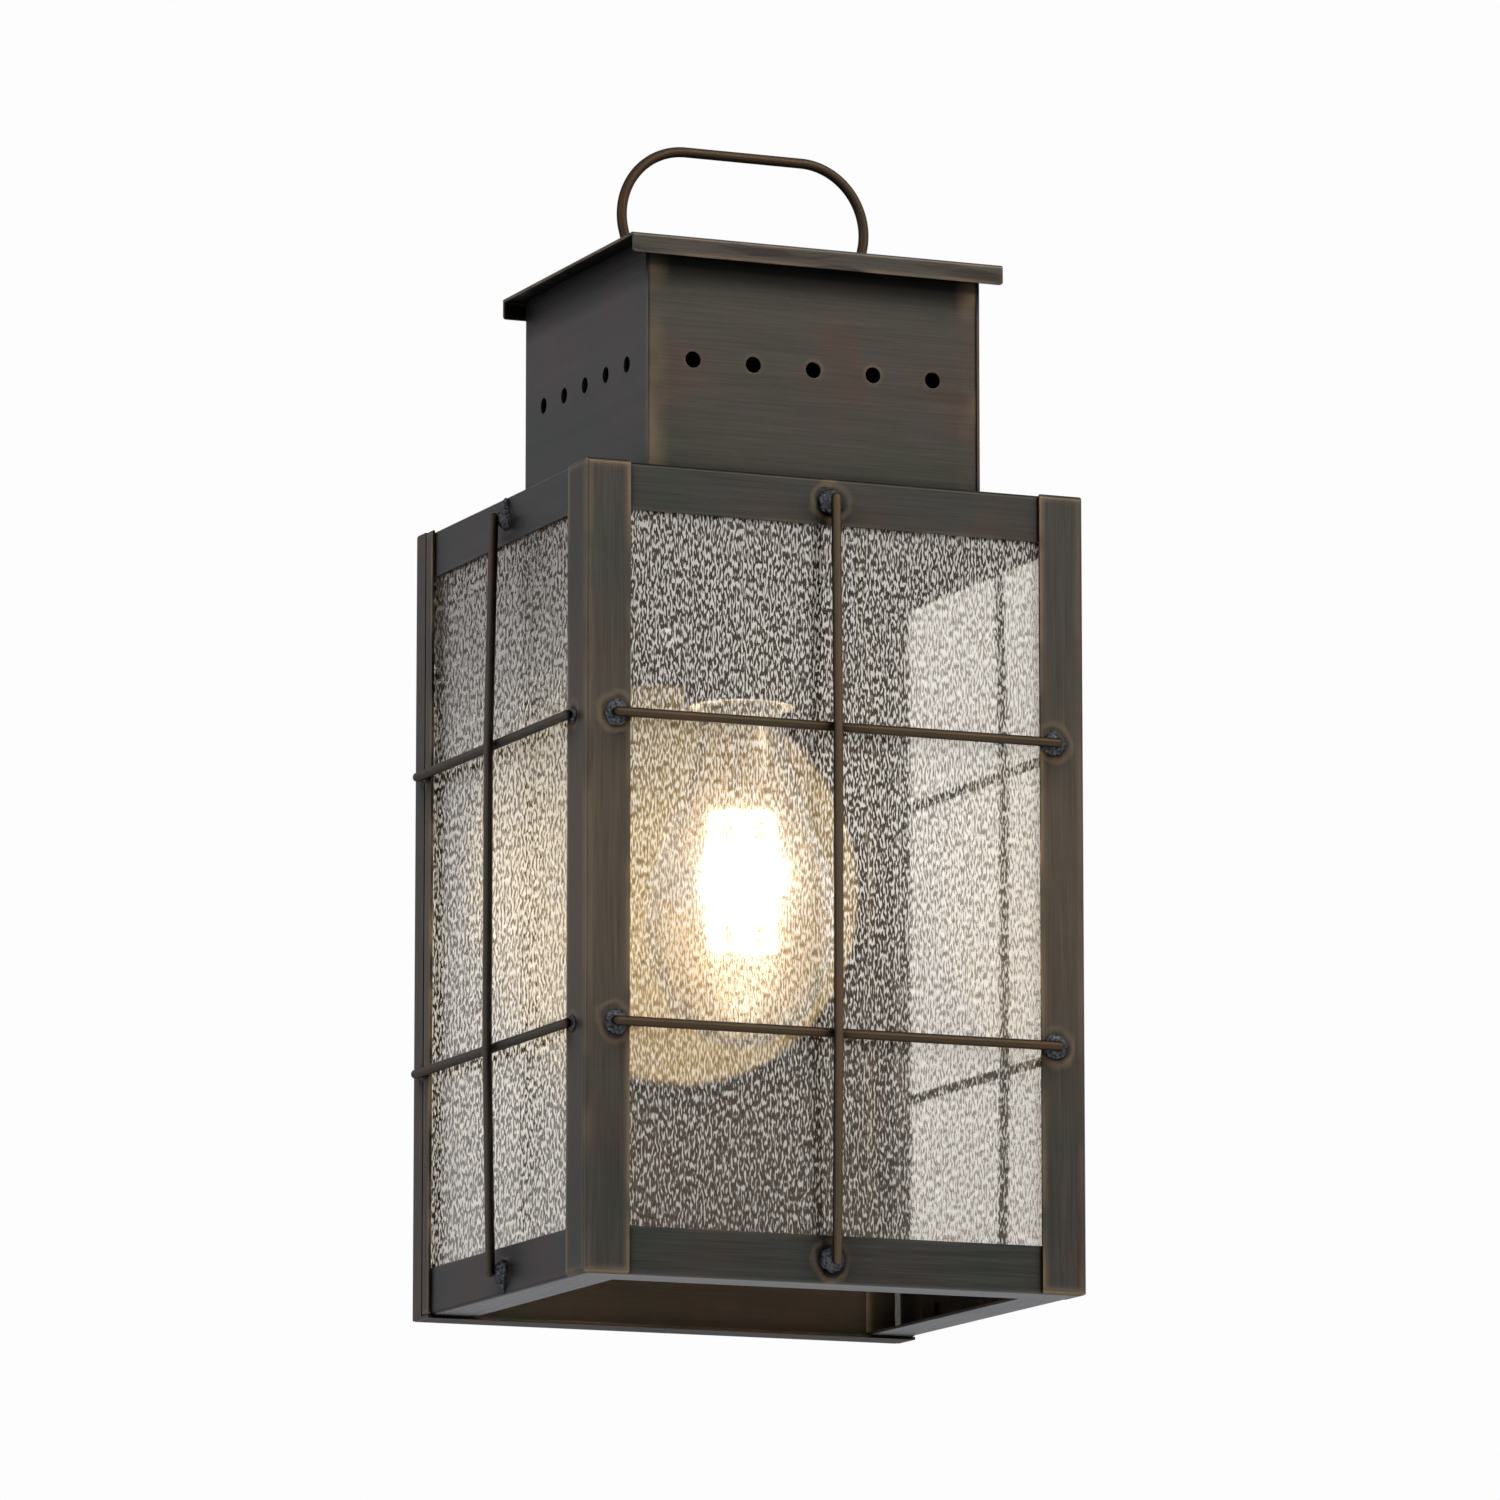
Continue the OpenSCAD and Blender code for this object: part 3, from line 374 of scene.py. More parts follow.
def flame_marks(tree, place, clouds):
    """The bare tan ring round each bead, patchy as the clouds are, and the scorch inside it."""
    away = distance_to_solder(tree, place, front_rings)
    beside = distance_to_solder(tree, place, side_rings)
    beside = add(tree, "Math", {0: beside, 1: side_ring_less}, operation="ADD")
    away = add(tree, "Math", {0: away, 1: beside}, operation="MINIMUM")
    uneven = add(tree, "TexNoise", {"Vector": place, "Scale": 0.16, "Detail": 1})
    away = add(tree, "Math", {0: uneven, 1: 4.0, 2: away}, operation="MULTIPLY_ADD")
    halo = add(tree, "MapRange", {
        "Value": clouds, "From Min": 0.4, "From Max": 0.6, "To Min": 0.06, "To Max": 0.26,
    })
    for outer, full in ((6.8, 8.2), (10.2, 8.4)):
        fade = {"Value": away, "From Min": outer, "From Max": full}
        fade = add(tree, "MapRange", fade, interpolation_type="SMOOTHSTEP")
        halo = add(tree, "Math", {0: halo, 1: fade}, operation="MULTIPLY")
    scorch = {"Value": away, "From Min": 8.6, "From Max": 6.6, "To Min": 1, "To Max": 0.8}
    return halo, add(tree, "MapRange", scorch)


print("clouds about", cloud_size, "mm across")

# %% Where the patina is worn
# The radius that a sharp edge is rounded over, in metres, and the size of its rubbed spots, in millimetres
edge_radius, rub_size = 0.0003, 24
# A post is held from its middle height out to the first distance, and no further than the second. From there
# to the third it gets barer, in millimetres
grip_full, grip_end, bare_end = 20, 95, 125


def edge_wear(tree, radius, low, high):
    """The normal rounded over the radius, and how far it leans from the face's own: 0 on a flat face and 1 on
    an edge."""
    rounded = add(tree, "Bevel", {"Radius": radius}, samples=6)
    face = add(tree, "NewGeometry").outputs["Normal"]
    along = add(tree, "VectorMath", {0: rounded, 1: face}, operation="DOT_PRODUCT").outputs["Value"]
    return rounded, add(tree, "MapRange", {"Value": along, "From Min": 1 - low, "From Max": 1 - high})


def rubbed_edges(tree, place, soft_edge, from_middle=None, border=None):
    """The normal with its edges rounded, and how bare they are: bright on a sharp edge, and thinned within
    soft_edge metres of it and along a border. from_middle is given for a piece that hands hold."""
    rounded, sharp = edge_wear(tree, edge_radius, 0.02, 0.22)
    _, thinned = edge_wear(tree, soft_edge, 0.004, 0.3)
    rubbed = add(tree, "TexNoise", {"Vector": place, "Scale": 1 / rub_size, "Detail": 2})
    rubbed = add(tree, "MapRange", {"Value": rubbed, "From Min": 0.42, "From Max": 0.62, "To Min": 0.08})
    thinnest = 0.34
    if from_middle:
        thinnest = 0.5
        ends = add(tree, "MapRange", {
            "Value": from_middle, "From Min": grip_end, "From Max": bare_end, "To Max": 0.45,
        })
        rubbed = add(tree, "Math", {0: rubbed, 1: ends}, operation="ADD", use_clamp=True)
    if border:
        thinned = add(tree, "Math", {0: thinned, 1: border}, operation="MAXIMUM")
    thinned = add(tree, "Math", {0: thinned, 1: thinnest}, operation="MULTIPLY")
    bare = add(tree, "Math", {0: sharp, 1: thinned}, operation="MAXIMUM")
    return rounded, add(tree, "Math", {0: bare, 1: rubbed}, operation="MULTIPLY")


print("edges rounded over", edge_radius * mm, "mm")

# %% [markdown]
# ## One bronze for every sheet and rod
# All the metal of the body is the same brass, so one function makes it, and its options say what happened to
# a piece: how it was brushed, who touches it, where it is soldered, what it stands on, and where light and
# shade are painted on it. A separate material for each piece would repeat all this. The patina's colour is
# darkened or lightened by one shade after another, some of them painted shade and painted light, and the bare
# metal is mixed in last, because it lies where the patina is gone.

# %% The bronze
handled, unbrushed, bare_brass = (1.45, 1.3, 1.12, 1), colour("#312a22"), colour("#a18a6c")


def bronze(
    name, grain, patina, rough=0.4, brushing=0.18, wear=1.0, soft_edge=0.003, smear=0.0,
    soldered=False, held=False, seam=None, foot=None, painted_underside_light=0, inner=None, painted_highlight_axis=None,
):
    """Patinated brushed brass, which gives the eye a dark satin brown with fine lines and copper edges.
    grain is how fast the brushed lines change along X, Y and Z, per millimetre, and brushing their strength.
    soft_edge is how far in from an edge the cloth has thinned the patina, in metres, and smear how strong its
    dark streaks are. A held piece is paler in the middle of its height, and barer at its ends. seam is how
    far out along X a panel ends against its neighbour, and foot the height of what it stands on, in
    millimetres, above which shade is painted. painted_underside_light is how much paler its underside is
    painted, as painted light. inner is how far the unbrushed inside reaches from the body's middle along X
    and
    Y, in millimetres. painted_highlight_axis is 0 or 1, the axis that a rod's painted highlight faces along,
    with painted shade on its flanks."""
    made, tree = material(name)
    place = millimetres(tree)
    parts = add(tree, "SeparateXYZ", {0: place}).outputs
    clouds = add(tree, "TexNoise", {"Vector": place, "Scale": 1 / cloud_size, "Detail": 3, "Roughness": 0.6})
    # The brush's lines are drawn about half a millimetre apart, coarser than they are, so that they show
    stretched = add(tree, "VectorMath", {0: place, 1: grain}, operation="MULTIPLY")
    brushed = add(tree, "TexNoise", {"Vector": stretched, "Scale": 1, "Detail": 3, "Roughness": 0.7})
    wide = add(tree, "VectorMath", {0: place, 1: tuple(g * 0.12 for g in grain)}, operation="MULTIPLY")
    bands = add(tree, "TexNoise", {"Vector": wide, "Scale": 1, "Detail": 2})

    tint = clouded(tree, clouds)
    from_middle = None
    if held:
        from_middle = how_far(tree, parts["Z"], middle_z)
        grip = add(tree, "MapRange", {"Value": from_middle, "From Min": grip_end, "From Max": grip_full})
        tint = add(tree, "Mix", {"Factor": grip, "A": tint, "B": handled}, data_type="RGBA")
    skin = colour(patina)[:3]
    if inner:
        skins = {"Factor": outside(tree, parts, inner), "A": unbrushed, "B": colour(patina)}
        skin = add(tree, "Mix", skins, data_type="RGBA")
    tone = add(tree, "VectorMath", {0: tint, 1: skin}, operation="MULTIPLY")

    # Painted shade in corners and under overhangs comes first, darker where a face is covered
    shades = [painted_shade_under_cover(tree, 0.016, 0.6, 0.93, 0.18)]
    for pattern, strength in ((bands, 0.04), (brushed, brushing)):
        shades.append(add(tree, "MapRange", {
            "Value": pattern, "From Min": 0.3, "From Max": 0.7,
            "To Min": 1 - strength, "To Max": 1 + strength,
        }))
    if smear:
        shades.append(smeared(tree, place, smear))
    border = None
    if seam:
        aside = how_far(tree, parts["X"])
        gap = add(tree, "MapRange", {
            "Value": aside, "From Min": seam - 0.9, "From Max": seam - 0.3, "To Min": 1, "To Max": 0.35,
        })
        shades.append(gap)
        border = add(tree, "MapRange", {"Value": aside, "From Min": seam - 8, "From Max": seam - 1})
        border = add(tree, "Math", {0: border, 1: gap}, operation="MULTIPLY")
    # Painted shade: darker just above what the panel stands on
    if foot:
        shades.append(add(tree, "MapRange", {
            "Value": parts["Z"], "From Min": foot + 1, "From Max": foot + 6, "To Min": 0.45,
        }))
    # Painted light: a face turned downwards is made paler, as if lit from below
    if painted_underside_light:
        under = add(tree, "MapRange", {"Value": facing(tree)["Z"], "From Min": -0.6, "From Max": -0.9})
        shades.append(add(tree, "Math", {0: under, 1: painted_underside_light, 2: 1.0}, operation="MULTIPLY_ADD"))
    # Painted highlight on a rod's outer side, and painted shade on its flanks
    if painted_highlight_axis is not None:
        normal = facing(tree)
        outward = add(tree, "Math", {0: normal[painted_highlight_axis]}, operation="ABSOLUTE")
        outward = add(tree, "Math", {0: normal["Z"], 1: -0.35, 2: outward}, operation="MULTIPLY_ADD")
        shades.append(add(tree, "MapRange", {
            "Value": outward, "From Min": 0.3, "From Max": 0.95, "To Min": 0.6, "To Max": 1.45,
        }))

    rounded, bare = rubbed_edges(tree, place, soft_edge, from_middle, border)
    bare = add(tree, "Math", {0: bare, 1: wear}, operation="MULTIPLY")
    if soldered:
        # Painted shade along edges that turn upwards, where no bare metal shows either
        top_edge_painted_shade = painted_shade_on_top_edges(tree, rounded)
        halo, scorch = flame_marks(tree, place, clouds)
        shades += [top_edge_painted_shade, scorch]
        bare = add(tree, "Math", {0: bare, 1: top_edge_painted_shade}, operation="MULTIPLY")
        bare = add(tree, "Math", {0: bare, 1: halo}, operation="MAXIMUM")
    for shade in shades:
        tone = add(tree, "VectorMath", {0: tone, "Scale": shade}, operation="SCALE")
    tone = add(tree, "Mix", {"Factor": bare, "A": tone, "B": bare_brass}, data_type="RGBA")

    gloss = add(tree, "MapRange", {
        "Value": brushed, "From Min": 0.3, "From Max": 0.7, "To Min": rough - 0.06, "To Max": rough + 0.08,
    })
    if painted_underside_light:
        gloss = add(tree, "Math", {0: under, 1: -0.14, 2: gloss}, operation="MULTIPLY_ADD")
    relief = {"Height": brushed, "Strength": 0.12, "Distance": 0.00005, "Normal": rounded}
    shader = add(tree, "BsdfPrincipled", {
        "Base Color": tone, "Metallic": 0.88, "Roughness": gloss, "Specular IOR Level": 0.3,
        "Specular Tint": colour("#c4c4c6"), "Normal": add(tree, "Bump", relief),
    })
    add(tree, "OutputMaterial", {"Surface": shader})
    return made


print("bare brass", shown(bare_brass, 3))

# %% Bronze sheets
along_x, along_y, along_z = (0.03, 1.8, 1.8), (1.8, 0.03, 1.8), (1.8, 1.8, 0.03)
post_inside = (shell_x - 0.4, shell_y - 0.4)
# The pan is open towards the lantern, so only its sides, 1.1 mm thick with their rounding, are outside
pan_inside = (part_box("back_pan")[1][0] * mm - 1.1, 1000)
panel_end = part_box("chimney_front")[1][0] * mm
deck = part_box("rail_top_front")[1][2] * mm

# The posts are brushed upright and handled, so they are the warmest and palest of the sheets
bronze_post = bronze(
    "oil_rubbed_bronze_brushed_upright", along_z, "#4b4844", soft_edge=0.004, soldered=True, held=True,
    inner=post_inside,
)
finish_with(bronze_post, "post_front_left", "post_front_right", "post_rear_left", "post_rear_right")

# The front rails are brushed across, dark and little worn, with a lip turned under whose underside is painted
# paler, as painted light
bronze_front = bronze(
    "oil_rubbed_bronze_brushed_across", along_x, "#454441", wear=0.4, soldered=True, painted_underside_light=1.1,
)
finish_with(bronze_front, "rail_top_front", "rail_bottom_front")

# The side rails have the bluest patina, so they look grey
# Their undersides are painted a little paler too, as painted light
bronze_side = bronze(
    "oil_rubbed_bronze_brushed_to_the_wall", along_y, "#4b4949", wear=0.4, soldered=True, painted_underside_light=0.5,
)
finish_with(bronze_side, "rail_top_left", "rail_top_right", "rail_bottom_left", "rail_bottom_right")

# The chimney's front has a tan border and a dark seam at its corners, and painted shade at its foot where it
# stands
bronze_chimney = bronze(
    "oil_rubbed_bronze_chimney_front", along_x, "#4b4743", rough=0.42, wear=0.7, seam=panel_end, foot=deck,
)
finish_with(bronze_chimney, "chimney_front", "chimney_rear")

# Its sides are tucked behind the front, with hardly any wear, and look violet-grey, with painted shade at
# their foot
bronze_chimney_side = bronze(
    "oil_rubbed_bronze_chimney_side", along_y, "#504d4d", rough=0.45, wear=0.1, foot=deck,
)
finish_with(bronze_chimney_side, "chimney_left", "chimney_right")

# The roof is the glossiest, with long dark streaks along its turned-down edges
bronze_roof = bronze("oil_rubbed_bronze_roof", along_x, "#4e4945", rough=0.36, smear=0.36)
finish_with(bronze_roof, "roof", "cap_nut")

# The pan is dull brown-black inside and greyer on its rim, and what is hidden near it is made of the same
bronze_pan = bronze("oil_rubbed_bronze_pan", along_x, "#524d49", rough=0.45, wear=0.1, inner=pan_inside)
finish_with(bronze_pan, "back_pan", "rail_top_rear", "rail_bottom_rear")
finish_with(bronze_pan, "top_deck", "glass_clips", "socket_cup")

# %% Bronze rods
# A rod isn't brushed. Its outer side is given a painted highlight, warm and pale, and its flanks painted
# shade
rod_grain = (0.3, 0.3, 0.3)
side_bars = [name for name in nodes if name.startswith(("bar_left_", "bar_right_"))]
for name, patina, painted_highlight_axis, rods in (
    ("bronze_rod_with_painted_highlight", "#43382c", 1, ("handle", "bar_front_upper", "bar_front_lower")),
    ("bronze_upright_rod_with_painted_highlight", "#524639", 1, ("bar_front_upright",)),
    ("bronze_side_rod_with_painted_highlight", "#47403a", 0, side_bars),
):
    finish_with(bronze(name, rod_grain, patina, rough=0.5, brushing=0.05, wear=0.0, painted_highlight_axis=painted_highlight_axis), *rods)

# %% [markdown]
# ## Rain glass
# Each pane is 3 mm glass, rolled on one side with a fine relief like rain running down. What is behind shows
# in its place, but the ridges catch the light of the room and of the lamp, and the valleys between them bend
# it away. So the pane is covered with short upright worms, pale on dark and white on grey, a little over half
# a millimetre wide and a few millimetres long. Behind the rails there is only dark metal, and the ridges
# catch nothing. A relief in the mesh would need millions of faces, so noise that is squeezed sideways says
# where the ridges are: a matt white layer covers them, and clear glass the rest. A dark layer over the
# valleys is painted shade, standing for the dark inside that they bend into view, and how much of both
# layers shows changes from foot to head as painted light and shade.

# %% The rain glass
window_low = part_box("rail_bottom_front")[1][2] * mm
window_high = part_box("rail_top_front")[0][2] * mm


def rain_glass(name, axis, middle, cell, relief, shares, painted_valley_shades, valley_tint, through, starts=(0.47, 0.47)):
    """Clear glass with a relief on its outer face, which gives the eye a grainy veil over what is behind.
    axis is the one that the pane faces along, middle the place of its middle plane and cell the size of the
    relief along each axis, in millimetres, and relief how strongly it bends the light. Of each pair, the
    first is for the foot of the pane and the second for its head, so that light and shade are painted from
    foot to head: shares say how much light the ridges catch, painted_valley_shades how much of a dark layer,
    painted shade for the dark inside that the valleys bend into view, covers them, and starts how high the
    noise is where a ridge begins. through is how much of a ridge's light comes from inside the lantern."""
    made, tree = material(name)
    place = millimetres(tree)
    squeeze = tuple(0 if i == axis else 1 / size for i, size in enumerate(cell))
    drawn = add(tree, "VectorMath", {0: place, 1: squeeze}, operation="MULTIPLY")
    worms = add(tree, "TexNoise", {"Vector": drawn, "Scale": 1, "Detail": 0, "Distortion": 0.3})

    # There is relief on the outer face only and between the rails, and from inside it hardly shows
    parts = add(tree, "SeparateXYZ", {0: place}).outputs
    outer = add(tree, "Math", {0: how_far(tree, parts[axis]), 1: middle}, operation="GREATER_THAN")
    above = add(tree, "MapRange", {"Value": parts["Z"], "From Min": window_low - 1, "From Max": window_low})
    below = add(tree, "MapRange", {"Value": parts["Z"], "From Min": window_high + 1, "From Max": window_high})
    behind = add(tree, "NewGeometry").outputs["Backfacing"]
    within = add(tree, "MapRange", {"Value": behind, "To Min": 1.0, "To Max": 0.15})

    # Painted light and shade: the lit ridges change evenly from foot to head, and the painted dark of the
    # valleys mostly near the head
    rise = add(tree, "MapRange", {"Value": parts["Z"], "From Min": window_low, "From Max": window_high})
    start = add(tree, "MapRange", {"Value": rise, "To Min": starts[0], "To Max": starts[1]})
    proud = add(tree, "Math", {0: worms, 1: start}, operation="SUBTRACT")
    ridge = add(tree, "MapRange", {"Value": proud, "From Max": 0.09})
    height = add(tree, "MapRange", {"Value": rise, "To Min": shares[0], "To Max": shares[1]})
    share = add(tree, "Math", {0: ridge, 1: height}, operation="MULTIPLY")
    valley = add(tree, "MapRange", {"Value": worms, "From Min": 0.5, "From Max": 0.4})
    steep = add(tree, "Math", {0: rise, 1: 3.0}, operation="POWER")
    painted_shade_depth = add(tree, "MapRange", {"Value": steep, "To Min": painted_valley_shades[0], "To Max": painted_valley_shades[1]})
    gap = add(tree, "Math", {0: valley, 1: painted_shade_depth}, operation="MULTIPLY")
    for part in (outer, above, below, within):
        share = add(tree, "Math", {0: share, 1: part}, operation="MULTIPLY")
        gap = add(tree, "Math", {0: gap, 1: part}, operation="MULTIPLY")

    bent = add(tree, "Bump", {"Height": worms, "Strength": relief, "Distance": 0.0004})
    tints = {"Factor": valley, "A": colour("#f3f1ed"), "B": colour(valley_tint)}
    body = add(tree, "BsdfPrincipled", {
        "Base Color": add(tree, "Mix", tints, data_type="RGBA"), "Roughness": 0.03, "IOR": 1.5,
        "Transmission Weight": 1.0, "Normal": bent,
    })
    caught = add(tree, "BsdfDiffuse", {"Color": colour("#d0d0cd"), "Normal": bent})
    passed = add(tree, "BsdfTranslucent", {"Color": colour("#f8f8f8"), "Normal": bent})
    bright = add(tree, "MixShader", {0: through, 1: caught, 2: passed})
    glass = add(tree, "MixShader", {0: share, 1: body, 2: bright})
    # The valleys' dark brown is painted shade, standing for the dark inside bent into view
    dark = add(tree, "BsdfDiffuse", {"Color": colour("#4c3c2e")})
    glass = add(tree, "MixShader", {0: gap, 1: glass, 2: dark})
    # Lamps shine through a pane, which keeps the inside of the lantern free of speckles
    clear = add(tree, "BsdfTransparent", {"Color": colour("#bfbcb6")})
    shadow = add(tree, "LightPath").outputs["Is Shadow Ray"]
    add(tree, "OutputMaterial", {"Surface": add(tree, "MixShader", {0: shadow, 1: glass, 2: clear})})
    return made


print("window from", round(window_low, 1), "to", round(window_high, 1), "mm")

# %% Rain glass panes
front_middle = sum(corner[1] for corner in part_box("glass_front")) * -mm / 2
side_middle = sum(corner[0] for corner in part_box("glass_right")) * mm / 2
front_cell = (0.6, 1, 2.2)
# At their steep angle real ridges would be too fine to show, so those of the side panes are drawn coarser
side_cell = (1, 1.5, 2.1)

# The front pane is a crisp salt-and-pepper over the dark inside
rain_front = rain_glass(
    "rain_glass_front", 1, front_middle, front_cell, relief=0.02, shares=(0.42, 0.54), painted_valley_shades=(0.42, 0.3),
    valley_tint="#d6cfc6", through=0.4, starts=(0.53, 0.47),
)
# The left pane is a warm veil that the lamp lights from behind, with painted shade at its head
rain_left = rain_glass(
    "rain_glass_left", 0, side_middle, side_cell, relief=0.7, shares=(0.66, 0.12), painted_valley_shades=(0.06, 1.0),
    valley_tint="#cdc6bc", through=0.8,
)
# The right pane lets the white wall through, and is seen through the front one
rain_right = rain_glass(
    "rain_glass_right", 0, side_middle, side_cell, relief=0.05, shares=(0.62, 0.66), painted_valley_shades=(0.1, 0.2),
    valley_tint="#eae8e5", through=0.6,
)
finish_with(rain_front, "glass_front")
finish_with(rain_left, "glass_left")
finish_with(rain_right, "glass_right")

# %% [markdown]
# ## The lamp and its socket
# A pear-shaped filament lamp hangs cap up in a porcelain socket. Six yellow filaments glow far brighter than
# anything else, so they show as one white heart, and their light turns the brass disc behind them gold. Thin
# emitters light a room with many speckles, so these only glow, and a small round light in their middle does
# the lighting. The fittings round the lamp are seen only through the panes or from behind. Each still has its
# own material, of one of a few kinds: clear glass, plain metal, spun brass and moulded goods.

# %% Clear glass and glow
def plain_glass(name, tint, rough):
    """Blown glass, whose skin has slow waves that bend what is behind it a little."""
    made, tree = material(name)
    waves = add(tree, "TexNoise", {"Vector": millimetres(tree), "Scale": 0.08, "Detail": 1})
    relief = add(tree, "Bump", {"Height": waves, "Strength": 0.1, "Distance": 0.0005})
    body = add(tree, "BsdfPrincipled", {
        "Base Color": colour(tint), "Roughness": rough, "IOR": 1.5, "Transmission Weight": 1.0,
        "Normal": relief,
    })
    clear = add(tree, "BsdfTransparent", {"Color": colour("#fffdf9")})
    shadow = add(tree, "LightPath").outputs["Is Shadow Ray"]
    add(tree, "OutputMaterial", {"Surface": add(tree, "MixShader", {0: shadow, 1: body, 2: clear})})
    return made


def grainy(tree, tint, size, detail, low, high):
    """Noise with grains of this size in millimetres, and the tint made darker and lighter by it."""
    grains = add(tree, "TexNoise", {"Vector": millimetres(tree), "Scale": 1 / size, "Detail": detail})
    tone = add(tree, "MapRange", {
        "Value": grains, "From Min": 0.3, "From Max": 0.7, "To Min": low, "To Max": high,
    })
    return grains, add(tree, "VectorMath", {0: colour(tint)[:3], "Scale": tone}, operation="SCALE")


def glowing(name, tint, strength):
    """Phosphor on a thread of glass, whose glow is so strong that the eye sees white."""
    made, tree = material(name)
    _, tone = grainy(tree, tint, 2 / 3, 1, 0.8, 1.0)
    shader = add(tree, "BsdfPrincipled", {
        "Base Color": tone, "Roughness": 0.5, "Emission Color": colour(tint), "Emission Strength": strength,
    })
    add(tree, "OutputMaterial", {"Surface": shader})
    return made


# The bulb is a little hazy, which spreads its filaments into one heart, and the stem inside it is clear
finish_with(plain_glass("amber_lamp_glass", "#fff6e4", 0.22), "lamp_glass")
finish_with(plain_glass("clear_stem_glass", "#f6f6f2", 0.05), "lamp_stem")
finish_with(glowing("phosphor_filament", "#fff6e6", 6.5), "lamp_filaments")

# %% Metal fittings
def metal(name, tint, rough, spread, size):
    """A plain metal whose gloss is uneven by spread, in spots of this size in millimetres."""
    made, tree = material(name)
    grain, tone = grainy(tree, tint, size, 3, 0.85, 1.1)
    gloss = add(tree, "MapRange", {
        "Value": grain, "From Min": 0.3, "From Max": 0.7, "To Min": rough - spread, "To Max": rough + spread,
    })
    relief = add(tree, "Bump", {"Height": grain, "Strength": 0.15, "Distance": 0.00005})
    shader = add(tree, "BsdfPrincipled", {
        "Base Color": tone, "Metallic": 1.0, "Roughness": gloss, "Normal": relief,
    })
    add(tree, "OutputMaterial", {"Surface": shader})
    return made


def turned_brass(name, tint):
    """Spun brass, tarnished to a dull gold. The tool leaves 1.2 rings in a millimetre round the disc's
    middle."""
    made, tree = material(name)
    place = millimetres(tree)
    disc = add(tree, "VectorMath", {0: place, 1: (1, 0, 1)}, operation="MULTIPLY")
    radius = add(tree, "VectorMath", {0: disc}, operation="LENGTH").outputs["Value"]
    rings = add(tree, "TexNoise", {"W": radius, "Scale": 1.2, "Detail": 2}, noise_dimensions="1D")
    tarnish = add(tree, "TexNoise", {"Vector": place, "Scale": 0.05, "Detail": 4})
    tone = add(tree, "MapRange", {
        "Value": rings, "From Min": 0.3, "From Max": 0.7, "To Min": 0.85, "To Max": 1.1,
    })
    tarnished = {"Factor": tarnish, "A": colour(tint), "B": colour("#6c6041")}
    brass_tone = add(tree, "Mix", tarnished, data_type="RGBA")
    brass_tone = add(tree, "VectorMath", {0: brass_tone, "Scale": tone}, operation="SCALE")
    relief = add(tree, "Bump", {"Height": rings, "Strength": 0.25, "Distance": 0.0001})
    shader = add(tree, "BsdfPrincipled", {
        "Base Color": brass_tone, "Metallic": 0.4, "Roughness": 0.5, "Normal": relief,
    })
    add(tree, "OutputMaterial", {"Surface": shader})
    return made


# Nickel is a warm bright grey, tin solder duller, and zinc a spangled grey
finish_with(metal("nickel_plated_cap", "#c8c4b8", 0.25, 0.06, 3), "lamp_cap")
finish_with(metal("solder_tip", "#a9aaa8", 0.4, 0.08, 2), "lamp_tip")
zinc = metal("zinc_plated_steel", "#a3a4a0", 0.4, 0.1, 2.5)
finish_with(zinc, "mounting_strap", "mounting_nipple", "strap_nut", "socket_nipple", "socket_nuts")
# Drawn brass keeps its yellow, and the earth screw is dyed so that it is found at a glance
finish_with(metal("bare_brass", "#c7a35c", 0.32, 0.08, 3), "screw_shell", "centre_contact")
finish_with(metal("green_dyed_steel", "#3d7a45", 0.35, 0.08, 2), "earth_screw")
finish_with(turned_brass("spun_antique_brass", "#998760"), "reflector")

# %% Moulded fittings
def moulded(name, tint, rough, size, bump):
    """Porcelain, rubber, vitrite or wire insulation: one body colour, faintly uneven at this size in
    millimetres."""
    made, tree = material(name)
    specks, tone = grainy(tree, tint, size, 4, 0.9, 1.06)
    relief = add(tree, "Bump", {"Height": specks, "Strength": bump, "Distance": 0.0001})
    shader = add(tree, "BsdfPrincipled", {"Base Color": tone, "Roughness": rough, "Normal": relief})
    add(tree, "OutputMaterial", {"Surface": shader})
    return made


# Glaze and vitrite are smooth and glossy, and rubber and insulation matt
finish_with(moulded("glazed_porcelain", "#968d7d", 0.25, 6, 0.05), "socket_porcelain")
finish_with(moulded("black_vitrite", "#1c1a19", 0.15, 4, 0.05), "lamp_insulator")
finish_with(moulded("nitrile_rubber", "#1d1c1b", 0.6, 1.2, 0.2), "deck_grommet", "pan_grommet")
finish_with(moulded("wire_insulation", "#26221f", 0.45, 2, 0.1), "lead_wires")

# %% The lamp's light
# In watts, and in metres
glow_power, glow_radius = 0.76, 0.014

heart_low, heart_high = [Vector(corner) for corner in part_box("lamp_filaments")]
glow_data = bpy.data.lights.new("lamp_glow", "POINT")
glow_data.energy, glow_data.shadow_soft_size = glow_power, glow_radius
glow_data.color = colour("#fdfdff")[:3]
glow = put("lamp_glow", glow_data)
glow.location = (heart_low + heart_high) / 2
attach(glow, "lamp")
print("lamp lit at", shown(glow.location))

# %% [markdown]
# ## Solder
# Each bar end is tacked down with soft solder. It sets as a low lumpy mound that thins out towards its rim
# and climbs a little up the bar, then tarnishes nearly black. A few grey glints are painted on its highest
# lumps as painted highlights, and painted shade darkens it where it is covered. Where a side upright meets
# its rail, it has run along the rail and ends in a point, upwards at the top and downwards at the bottom.
# Each bead could be sculpted by hand. Here a ball is pressed to that profile, and pushed in and out by
# smooth noise, so that a few lines make them all and no two are alike.

# %% Tarnished solder
# Lumps just under a millimetre across, mottled from black to grey, with painted highlights as pale glints on
# the highest
lumps_per_mm = 1.1

